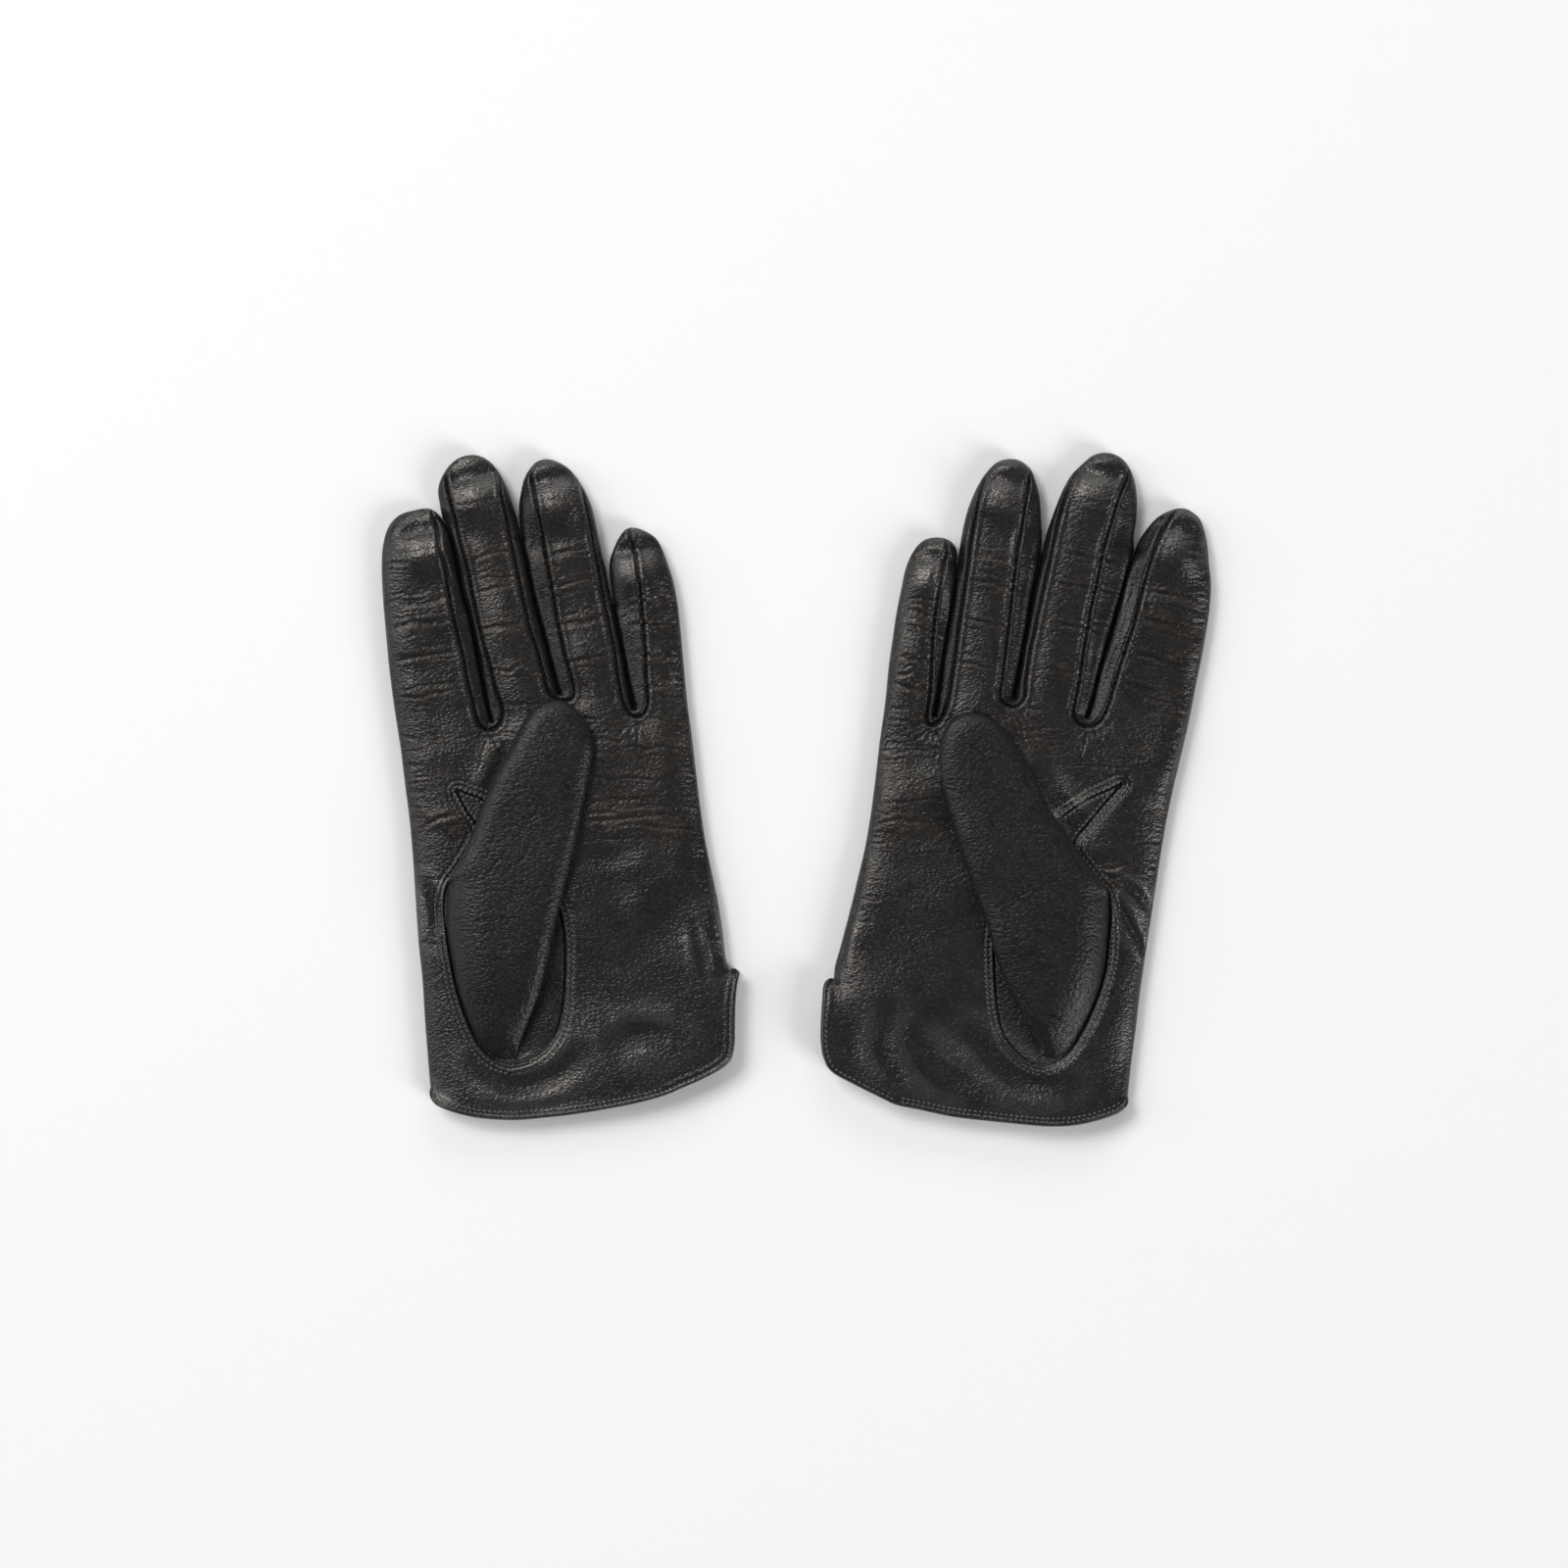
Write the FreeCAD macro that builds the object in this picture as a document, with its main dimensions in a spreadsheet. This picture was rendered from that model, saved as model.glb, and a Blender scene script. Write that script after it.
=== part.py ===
import FreeCAD, Part
import Sketcher
import math
import os

# A pair of leather gloves lying side by side, palms up, on their backs.
# Frame: millimetres, +Z up, +Y towards the fingertips, +X to the right.
# The origin is the middle of the pair's box, on the surface the gloves rest on.
# Every piece of leather is padded from its own pattern outline; the outlines
# below are flat pattern curves, and the thicknesses and levels are in the sheet.

LEFT_PATTERN = {
    "index_outer": [(-119.5, -97.6), (-120.3, -88), (-121.3, -75.2), (-122.1, -62.4), (-123.4, -49.6), (-124.5, -33.6), (-125.1, -24), (-126.2, -11.2), (-127.8, 1.6), (-129.4, 14.4), (-131.4, 27.2), (-133, 40), (-134.2, 52.8), (-135.2, 65.6), (-135.4, 74.6), (-134.9, 80), (-133.3, 85.4), (-130.2, 89.1), (-126.4, 90.7)],
    "index_tip": [(-125, 91), (-122.4, 91.5), (-120.2, 91.7), (-118, 90.8), (-115.6, 88.3)],
    "index_middle": [(-115.6, 88.3), (-113.9, 85.4), (-112.3, 80.1), (-110.7, 72.8), (-109, 64.6), (-106.6, 56.4), (-104.8, 48), (-103.2, 39.7), (-101.6, 31.5), (-100.2, 25), (-99.4, 22.4)],
    "middle_tip": [(-116.5, 93.1), (-117, 98.1), (-115.6, 102.2), (-113.1, 105.9), (-109.8, 108.3), (-105.8, 109.2), (-102.5, 108.5), (-99.2, 106.2), (-96.8, 103), (-94.3, 98.1), (-92.3, 92.4), (-90.8, 86.7)],
    "middle_ring": [(-89.8, 81.8), (-88.2, 74.9), (-86.6, 66.7), (-84.1, 56.4), (-82.3, 49.9), (-80.8, 43.8), (-78.9, 36.8), (-77.6, 32.3), (-77.1, 31.4)],
    "ring_tip": [(-90.3, 86.1), (-90.6, 92.1), (-89.9, 97), (-88.8, 101.5), (-87, 104.6), (-85.2, 106.7), (-82.1, 107.8), (-78.4, 107.1), (-74.8, 105.1), (-72.2, 102.4), (-69.5, 98.3), (-67.2, 93.4), (-65.7, 88), (-64.5, 82.2), (-63.2, 76.3), (-62, 71.4), (-61.3, 66.5)],
    "ring_little": [(-59.6, 59.7), (-57.8, 50.8), (-56.6, 44.5), (-55.2, 36.8), (-53.9, 30.4), (-53.1, 26.6)],
    "little_tip": [(-61, 70.2), (-61, 74.1), (-59.6, 78.6), (-57.8, 82.2), (-56.2, 84.5), (-54.9, 85.3), (-52.4, 85.3), (-49.2, 84.2), (-46.1, 82.2), (-44.3, 79.5)],
    "little_outer": [(-42.1, 74.1), (-40.3, 68.7), (-38.9, 62), (-37.8, 52.8), (-36.7, 40.5), (-35.5, 28.3), (-33.9, 16.1), (-32.6, 4.8), (-31, -8), (-29.6, -17), (-27.4, -27.8), (-25.4, -37.4), (-24, -46.4), (-22.7, -56.3), (-21.4, -58.7)],
    "index_seam": [(-118.9, 90.2), (-117.8, 88), (-117.2, 85), (-116.2, 78.9), (-114.7, 72.8), (-113.5, 65.4), (-111.9, 57.3), (-110.2, 49.9), (-108.4, 42.6), (-107, 34.8), (-105.3, 28.3), (-104.2, 23.4)],
    "middle_seam_index": [(-114.4, 102.7), (-113.7, 98.1), (-112.3, 92.4), (-111.3, 88.3), (-109.8, 81.8), (-108.2, 76.1), (-106.8, 70.3), (-105.3, 62.6), (-103.7, 54.8), (-102.9, 51.2), (-101.7, 46.6), (-99.6, 39.7), (-98.2, 33.6), (-96.8, 29.5)],
    "middle_seam_ring": [(-98.1, 105), (-97.2, 103.4), (-96.4, 99.3), (-95.6, 94.4), (-94.3, 87.5), (-93.1, 81.8), (-91.9, 75.6), (-90.2, 67.9), (-88.2, 58.9), (-86.4, 50.8), (-85.3, 47.8), (-83.7, 42.6), (-82.1, 36.4), (-80.9, 32.3)],
    "ring_seam_middle": [(-86.9, 104), (-86.1, 100.2), (-85.2, 95.7), (-84.3, 91.2), (-83.4, 86.7), (-82.3, 80.4), (-81.2, 74.1), (-80, 67.8), (-78.9, 61.5), (-77.8, 54.8), (-76.2, 48), (-75.4, 43.8), (-74.3, 40.2), (-73.1, 35.6)],
    "ring_seam_little": [(-70.2, 98.6), (-69, 93.9), (-67.7, 88.4), (-66.8, 84), (-65.7, 78.1), (-64.5, 72.3), (-63.2, 65.1), (-61.8, 58.4), (-60.5, 51.6), (-59.3, 46.1), (-58.4, 39.4), (-57.5, 33.6), (-56.3, 28.3)],
    "little_seam": [(-54.6, 83.8), (-53.3, 79.5), (-52.2, 75.4), (-51.5, 70.9), (-50.8, 65.1), (-50.2, 58.4), (-49.6, 51.6), (-49.2, 44.9), (-49, 38.4), (-48.6, 32.6)],
    "crotch_index_middle": [(-102.7, 20.5), (-100.9, 19.1), (-97.6, 20.2), (-95.9, 23), (-95.7, 26.6)],
    "crotch_middle_ring": [(-79.4, 30.1), (-77, 29), (-74.7, 28.8), (-72.8, 30.2), (-72.5, 32.8)],
    "crotch_ring_little": [(-54.7, 25), (-52.2, 23.5), (-49.8, 24.6), (-48.4, 28.2)],
    "vent": [(-21.4, -58.7), (-19.9, -58.7), (-18.4, -60.1), (-18.9, -61.8), (-19.7, -67.8), (-20, -76.4), (-20.2, -84.2), (-21.3, -88.3), (-23.8, -90.7), (-29.4, -94), (-38, -97.8), (-41.8, -99.5)],
    "hem": [(-41.8, -99.5), (-50.8, -102.1), (-63.6, -104.6), (-73.4, -106.1), (-80.8, -106.9), (-90.9, -107.8), (-97, -107.7), (-105.2, -106.9), (-113.3, -104.8), (-117.9, -102.6), (-119.5, -100.2), (-119.5, -97.6)],
    "thumb": [(-91.8, -88.3), (-97.9, -87.7), (-103.1, -82.7), (-107.2, -74.6), (-110.5, -64.3), (-112.5, -54.4), (-113.8, -45.8), (-114.1, -38.4), (-113.6, -31.4), (-112, -27.5), (-109.6, -23), (-105.9, -15.7), (-101.8, -4.3), (-99.4, 1.1), (-96.1, 8), (-93.5, 12.7), (-89.8, 20.1), (-85.3, 26.6), (-82.1, 28.5), (-78.9, 29.1), (-75.7, 28.7), (-72.8, 27.2), (-70.6, 25), (-68.2, 21.8), (-66.4, 17.6), (-65.7, 13.1), (-66.3, 9.3), (-67.2, 4.8), (-68.3, -1), (-70.4, -11.6), (-72.8, -23), (-75.3, -32.8), (-77.3, -41), (-80.7, -56.6), (-83.6, -66.8), (-86.8, -75), (-89.7, -82.3)],
    "opening": [(-93, -89.6), (-97.9, -88.2), (-103.1, -83.3), (-107.2, -75.2), (-110.5, -65), (-112.6, -54.7), (-113.9, -46.4), (-114.6, -38.4), (-114.1, -32.6), (-111.8, -24), (-107.7, -16.3), (-105.1, -11.8), (-107, -7.7), (-109.3, -3.5), (-110.9, -0.2), (-107, -1.6), (-103.2, -2.9), (-99, -6.1), (-90.4, -14.4), (-82.4, -27.2), (-77.6, -38.4), (-75.7, -47), (-75.4, -56), (-75.7, -64.6), (-76.6, -73), (-78.7, -79.9), (-82.8, -85.2), (-88.2, -88.5)],
    "thumb_hinge": [(-92, -89), (-112.8, -28.2)],
    "index_base": ((-116.3, 26.6), (-0.1416, 0.99)),
    "middle_base": ((-88.2, 34.2), (-0.209, 0.978)),
    "ring_base": ((-65.1, 36.8), (-0.208, 0.978)),
    "little_base": ((-43.4, 29.8), (-0.152, 0.988)),
    "quirk_line": ((-101.6, -9.6), (-0.7311, 0.6823)),
    "thumb_hole": [(-105.8, -32), (-90.4, -21.4), (-82.1, -32), (-80.8, -49.6), (-85, -64), (-90.4, -75.2), (-96.2, -81), (-99, -75.2), (-102.2, -62.4), (-104.5, -49.6)],
    "opening_stitches": [(-110.9, -25.9), (-112.6, -29.1), (-114.1, -32.6), (-114.6, -38.4), (-113.9, -46.4), (-112.6, -54.7), (-110.5, -65), (-107.2, -75.2), (-103.1, -83.3), (-97.9, -88.2), (-93, -89.6), (-88.2, -88.5), (-82.8, -85.2), (-78.7, -79.9), (-76.6, -73), (-75.7, -64.6), (-75.4, -56), (-75.7, -48.3)],
    "thumb_mouth": ((-90.4, -19.5), (0.4472, 0.8944)),
}

RIGHT_PATTERN = {
    "index_outer": [(108.3, -100.2), (109.4, -89.6), (110.9, -78.4), (112.2, -67.2), (113.8, -56), (116, -41.6), (117.3, -33), (118.9, -22.4), (120.8, -11.2), (122.6, -2.3), (125, 8), (126.9, 16), (129, 25.6), (130.7, 34.6), (132.4, 42.6), (133.9, 51.2), (135, 58.6), (135.5, 67.5), (134.9, 72.8), (134.3, 79.7), (133.1, 85), (131.8, 88.3), (129.8, 90.1), (127.8, 91.4)],
    "index_tip": [(124.9, 91.7), (121.7, 90.8), (118.4, 89.1), (115.9, 86.7), (113.9, 84.2), (111.8, 81), (111.8, 81)],
    "index_middle": [(110.4, 77.7), (108.6, 72.4), (106.9, 66.2), (105.3, 60.5), (103.7, 54.8), (102.2, 49.6), (100.5, 43.8), (98.5, 36.8), (96.9, 30), (95.4, 25.3), (94.9, 23.7)],
    "middle_tip": [(110.3, 82.6), (111.1, 87.5), (111.4, 92.4), (111.2, 96.4), (110.4, 101), (109, 104.6), (106.9, 107.5), (104.1, 109.3), (100.4, 109.9), (96.7, 108.9), (93.5, 106.2), (90.2, 103), (87.4, 98.5), (84.5, 91.5), (82.3, 85.4), (81.1, 81)],
    "middle_ring": [(79.8, 76.1), (78.6, 70.3), (77, 62.6), (75.4, 53.2), (74.2, 46.7), (72.8, 39), (71.5, 32.6), (71, 29.8)],
    "ring_tip": [(80.2, 79.7), (80.3, 84.2), (80, 89.1), (79.6, 95.2), (78.6, 99.3), (77, 103.8), (74.9, 106.2), (72.1, 107.6), (68.8, 107.8), (65.5, 106.7), (63.1, 104.6), (60.6, 101.3), (58.2, 96.9), (55.7, 90.3), (54.1, 83.4), (53.3, 78.5)],
    "ring_little": [(52.5, 72.8), (51.3, 62.6), (49.9, 53.8), (48.5, 45.8), (47.2, 36.5), (46.1, 28.3), (45.4, 24)],
    "little_tip": [(52.6, 77.3), (51.7, 79.7), (50, 81.3), (48, 82), (45.2, 82.2), (42.3, 81.6), (39.8, 79.7), (37.8, 76.9)],
    "little_outer": [(35.7, 72), (34.1, 64.6), (32.5, 56.4), (31.5, 49.6), (30.2, 40.5), (29, 28.3), (27.2, 15.4), (25.7, 2.6), (24, -10.2), (22.2, -20.2), (20, -29.4), (17.6, -39.4), (15.5, -47.4), (13.9, -53.4), (12.6, -57.8), (12.2, -61.8)],
    "index_seam": [(124.3, 91), (122.5, 89.1), (120, 85.4), (117.9, 81.3), (116.3, 77.3), (114.7, 72), (113.3, 66.7), (111.8, 61), (110.6, 56.1), (109.4, 51.8), (108.3, 48.7), (106.7, 43.8), (105.1, 38.9), (103.4, 33.2), (102.2, 29.1)],
    "middle_seam_index": [(108.4, 104.2), (108, 101.8), (106.1, 97.3), (104.5, 92.8), (103.1, 88.3), (101.7, 83.4), (100, 77.7), (98.8, 71.1), (97.6, 65.4), (96.2, 59.7), (95.1, 53.4), (93.6, 44.6), (92.8, 38.5), (92, 33.2), (90.9, 28.2)],
    "middle_seam_ring": [(92, 103.8), (90, 101), (87.6, 95.7), (85.9, 89.5), (84.3, 82.6), (82.3, 72.8), (80.6, 65.4), (78.6, 56.4), (77.6, 51.2), (76.5, 46.7), (75.5, 40.5), (74.7, 34.4)],
    "ring_seam_middle": [(76.5, 104), (76, 100.8), (75.6, 97.3), (74.5, 91.2), (73.3, 84.2), (72.1, 77.7), (71.3, 71.1), (70.5, 64.6), (69.6, 56.4), (69.1, 51.2), (68.5, 46.7), (67.9, 41.4), (67.1, 35.6)],
    "ring_seam_little": [(62.1, 102.4), (60.3, 97.3), (59, 92), (57.8, 85), (56.6, 77.7), (55.7, 70.8), (54.5, 62.6), (53.4, 55.4), (52.6, 49.6), (51.8, 43.4), (50.8, 36.5), (49.8, 30)],
    "little_seam": [(48.8, 81.1), (49.2, 79.7), (49, 76.9), (48.2, 72.8), (47.2, 67.5), (45.9, 61.3), (45.3, 56.4), (44.8, 51.2), (44.4, 46.7), (44.1, 38.5), (43.6, 30.4)],
    "crotch_index_middle": [(100.5, 24.6), (98.1, 21.4), (95.2, 20.3), (91.8, 21.4), (90.3, 24.2)],
    "crotch_middle_ring": [(74.5, 30.8), (73.2, 28.2), (71, 26.8), (68.5, 27.4), (66.7, 28.8), (66.5, 31.2)],
    "crotch_ring_little": [(48.5, 25.3), (46.9, 22.4), (44.3, 20.5), (42.9, 21.8), (42.8, 24.2)],
    "vent": [(12.2, -61.8), (10.6, -62), (9.1, -63.6), (8.5, -68.8), (8, -77), (8.1, -84.2), (9, -88), (11, -91.7), (18.7, -96.2), (26.9, -100.3), (32.4, -102.9)],
    "hem": [(32.4, -102.9), (39.1, -104.3), (51.4, -106.8), (61.6, -108), (69.7, -108.9), (83.1, -110), (92.1, -109.4), (101.1, -107.1), (106.1, -105), (108.2, -102.7), (108.3, -100.2)],
    "thumb": [(79.5, -88.2), (84.5, -88), (89, -84.5), (92.5, -79), (95.7, -72.8), (98.8, -65), (100.6, -57.3), (101.4, -48.6), (101.9, -40), (101.8, -34.9), (100, -31.6), (97.1, -27.9), (93.1, -22.2), (89, -16.1), (84.9, -10.4), (81.6, -5.1), (78.3, 2.3), (75.5, 7.4), (72.6, 12.4), (70.2, 16.5), (67.3, 20.2), (64.4, 22.6), (60.8, 24.4), (57.5, 25), (54.2, 24.8), (51.8, 23.8), (49.3, 21.4), (47.7, 18.1), (46.9, 15.3), (46.4, 9.6), (46.7, 3.8), (49, -5.4), (52.2, -17.3), (56.7, -30.8), (61.2, -42.2), (64.3, -53.1), (66.9, -59.8), (70.6, -67.9), (74.1, -75.1), (77.7, -83.2)],
    "opening": [(80.4, -90.1), (84.5, -88.6), (89, -85.1), (92.5, -79.7), (95.7, -73.4), (98.8, -65.4), (100.8, -57.6), (101.7, -48.6), (102.2, -40), (101.6, -33), (99, -28.2), (94.6, -21.4), (91, -17), (94.6, -11.8), (99, -6.4), (102.6, -2.2), (106.1, 1.8), (101, -0.6), (95.2, -3.2), (88.8, -7.4), (79.8, -14.4), (71.2, -27.2), (66.1, -40), (64.5, -49.6), (64.6, -58.1), (65, -66.6), (65.8, -73.3), (67.8, -80.1), (71.9, -85.4), (76.4, -89)],
    "thumb_hinge": [(83, -89), (101.3, -28.2)],
    "index_base": ((112.2, 26.6), (0.2, 0.98)),
    "middle_base": ((84.3, 32.6), (0.209, 0.978)),
    "ring_base": ((59, 34.6), (0.204, 0.979)),
    "little_base": ((37.3, 28.2), (0.172, 0.985)),
    "quirk_line": ((89.4, -12.2), (0.7557, 0.6549)),
    "thumb_hole": [(93.9, -32), (81.1, -20.2), (72.8, -30.4), (70.9, -46.4), (74.7, -62.4), (78.6, -72), (85.6, -80), (88.8, -75.2), (92, -62.4), (93.6, -46.4)],
    "opening_stitches": [(98.4, -27.5), (100.3, -30.4), (101.6, -33), (102.2, -40), (101.7, -48.6), (100.8, -57.6), (98.8, -65.4), (95.7, -73.4), (92.5, -79.7), (89, -85.1), (84.5, -88.6), (80.4, -90.1), (76.4, -89), (71.9, -85.4), (67.8, -80.1), (65.8, -73.3), (65, -66.6), (64.6, -58.1), (64.5, -50.2)],
    "thumb_mouth": ((81.1, -18.2), (-0.4856, 0.8742)),
}

doc = FreeCAD.newDocument("Gloves")

# ---------------------------------------------------------------- dimensions
sheet = doc.addObject("Spreadsheet::Sheet", "Sizes")
SIZES = [
    ("leather", 0.8, "thickness of the glove leather"),
    ("hand_height", 8.2, "height of the hand and fingers, lying flat"),
    ("hand_cavity", 6.6, "height of the hand cavity between the two layers"),
    ("front_level", 7.4, "underside of the palm and finger fronts"),
    ("piece_gap", 0.6, "gap between neighbouring fingers"),
    ("base_gap", 0.35, "gap between a finger and the palm at its base line"),
    ("thumb_level", 8.7, "underside of the thumb, which lies over the palm"),
    ("thumb_cavity", 5.7, "height of the thumb cavity"),
    ("thumb_wall_level", 9.5, "top of the thumb's underside"),
    ("thumb_front_level", 15.2, "underside of the thumb's upper side"),
    ("hem_width", 4.6, "width of the turned cuff hem"),
    ("hem_thickness", 1.5, "thickness of the turned cuff hem, palm side"),
    ("hem_level", 7.0, "underside of the palm-side hem"),
    ("hem_back_thickness", 1.2, "thickness of the turned cuff hem, back side"),
    ("hem_side_height", 5.8, "height of the hem where it turns round the index side"),
    ("vent_width", 2.6, "width of the vent binding"),
    ("thread", 0.4, "width of a stitch line"),
    ("thread_height", 0.2, "height of a stitch line above the leather"),
    ("hem_thread_level", 8.5, "top of the hem, where its stitch lines lie"),
]
for row, (alias, value, note) in enumerate(SIZES, start=1):
    sheet.set("A%d" % row, alias)
    sheet.set("B%d" % row, str(value))
    sheet.set("C%d" % row, note)
    sheet.setAlias("B%d" % row, alias)
doc.recompute()


def size(alias):
    return float(sheet.get(alias))


# ---------------------------------------------------------------- plane curves
def sub(a, b):
    return (a[0] - b[0], a[1] - b[1])


def dot(a, b):
    return a[0] * b[0] + a[1] * b[1]


def unit(a):
    n = math.hypot(a[0], a[1])
    return (a[0] / n, a[1] / n)


def clean(points, least=0.05):
    kept = []
    for p in points:
        if not kept or math.hypot(p[0] - kept[-1][0], p[1] - kept[-1][1]) > least:
            kept.append(p)
    return kept


def shift(points, distance):
    """An open curve moved sideways, to the left of its direction where distance is positive."""
    distances = distance if isinstance(distance, list) else [distance] * len(points)
    moved = []
    for i, p in enumerate(points):
        a = unit(sub(points[i], points[i - 1])) if i else None
        b = unit(sub(points[i + 1], points[i])) if i < len(points) - 1 else None
        a, b = a or b, b or a
        n = unit((-(a[1] + b[1]), a[0] + b[0]))
        k = max(dot(n, (-a[1], a[0])), 0.6)
        moved.append((p[0] + n[0] * distances[i] / k, p[1] + n[1] * distances[i] / k))
    return moved


def clip(polygon, point, normal, offset=0.0):
    """The part of a closed polygon on the side of a line that normal points to."""
    side = [dot(sub(p, point), normal) - offset for p in polygon]
    kept = []
    for i, p in enumerate(polygon):
        j = (i + 1) % len(polygon)
        if side[i] >= 0:
            kept.append(p)
        if (side[i] >= 0) != (side[j] >= 0):
            f = side[i] / (side[i] - side[j])
            q = polygon[j]
            kept.append((p[0] + f * (q[0] - p[0]), p[1] + f * (q[1] - p[1])))
    kept = clean(kept)
    if math.hypot(kept[0][0] - kept[-1][0], kept[0][1] - kept[-1][1]) < 0.05:
        kept.pop()
    return kept


def cut(points, point, normal, offset=0.0):
    """The stretch of an open curve on the side of a line that normal points to."""
    side = [dot(sub(p, point), normal) - offset for p in points]
    kept = []
    for i, p in enumerate(points):
        if side[i] >= 0:
            kept.append(p)
        if i < len(points) - 1 and (side[i] >= 0) != (side[i + 1] >= 0):
            f = side[i] / (side[i] - side[i + 1])
            q = points[i + 1]
            kept.append((p[0] + f * (q[0] - p[0]), p[1] + f * (q[1] - p[1])))
    return clean(kept)


def strip(points, width):
    """The closed band between an open curve and the same curve moved sideways."""
    return clean(points + shift(points, width)[::-1])


def nearest(points, target):
    return min(range(len(points)), key=lambda i: math.hypot(*sub(points[i], target)))


def away(points, p):
    """How far a point lies from an open curve."""
    least = 1e9
    for a, b in zip(points, points[1:]):
        d = sub(b, a)
        f = max(0.0, min(1.0, dot(sub(p, a), d) / dot(d, d)))
        least = min(least, math.hypot(p[0] - a[0] - f * d[0], p[1] - a[1] - f * d[1]))
    return least


def meet(outline, seam):
    """Where a finger seam runs out into the outline near the tip, and the seam ended there."""
    join = nearest(outline, seam[0])
    rest = [p for p in seam[1:] if away(outline, p) > 0.9]
    return join, [outline[join]] + rest


# ---------------------------------------------------------------- leather pieces
NODES = []


def origin_plane(body, role):
    for feature in body.Origin.OriginFeatures:
        if feature.Role == role:
            return feature


def piece(label, pads):
    """One PartDesign body: each pad is (closed outlines, level, thickness), and the last two are sheet cells."""
    body = doc.addObject("PartDesign::Body", label)
    body.Label = label
    plane = origin_plane(body, "XY_Plane")
    for k, (outlines, level, thickness) in enumerate(pads):
        sketch = body.newObject("Sketcher::SketchObject", "%s_outline_%d" % (label, k))
        sketch.AttachmentSupport = (plane, [""])
        sketch.MapMode = "FlatFace"
        if level:
            sketch.setExpression("AttachmentOffset.Base.z", "Sizes." + level)
        edges = []
        for outline in outlines:
            if math.hypot(*sub(outline[0], outline[-1])) < 0.05:
                outline = outline[:-1]
            for i, p in enumerate(outline):
                q = outline[(i + 1) % len(outline)]
                edges.append(
                    Part.LineSegment(
                        FreeCAD.Vector(p[0], p[1], 0), FreeCAD.Vector(q[0], q[1], 0)
                    )
                )
        sketch.addGeometry(edges, False)
        pad = body.newObject("PartDesign::Pad", "%s_pad_%d" % (label, k))
        pad.Profile = sketch
        pad.setExpression("Length", "Sizes." + thickness)
        pad.Refine = False
        doc.recompute()
    NODES.append(body)
    return body


GAP = size("piece_gap") / 2
WALL = size("leather")
BASE_GAP = size("base_gap")


def finger(side, name, outline, apex, seams, base, fold_first, openings=None):
    """The pieces of one finger. outline runs up its first side, round the tip and down the other; seams are the front's seams on each side, or None at a fold."""
    point, along = base
    outline = cut(outline, point, along, BASE_GAP)
    first, second = seams
    top = nearest(outline, apex)
    joins = [0, len(outline) - 1]
    if first:
        first = cut(first, point, along, BASE_GAP)
        joins[0], first = meet(outline, first)
    if second:
        second = cut(second, point, along, BASE_GAP)
        joins[1], second = meet(outline, second)
    front = list(outline[joins[0] : joins[1] + 1])
    if first:
        front = first[::-1] + front
    if second:
        front = front + second
    # the two side walls meet along one mitre at the fingertip
    inner = shift(outline, -WALL)
    strips = [
        clean(outline[: top + 1] + inner[: top + 1][::-1]),
        clean(outline[top:] + inner[top:][::-1]),
    ]
    front_pads = [([clean(front)], "front_level", "leather")]
    back_pads = [([outline], None, "leather")]
    made = {}
    for k, seam in enumerate((first, second)):
        if seam:
            edge = outline[: joins[0] + 1] if k == 0 else outline[joins[1] :]
            flange = edge + seam if k == 0 else edge + seam[::-1]
            made[k] = [
                ([clean(flange)], "front_level", "leather"),
                ([strips[k]], "leather", "hand_cavity"),
            ]
        elif name == "index":
            front_pads.append(([strips[k]], "leather", "hand_cavity"))
        else:
            back_pads.append(([strips[k]], "leather", "hand_cavity"))
    piece("%s_%s_front" % (side, name), front_pads)
    piece("%s_%s_back" % (side, name), back_pads)
    for k, pads in made.items():
        other = openings[k]
        tail = "fourchette" if len(made) == 1 else "fourchette_%s_side" % other
        piece("%s_%s_%s" % (side, name, tail), pads)


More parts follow.
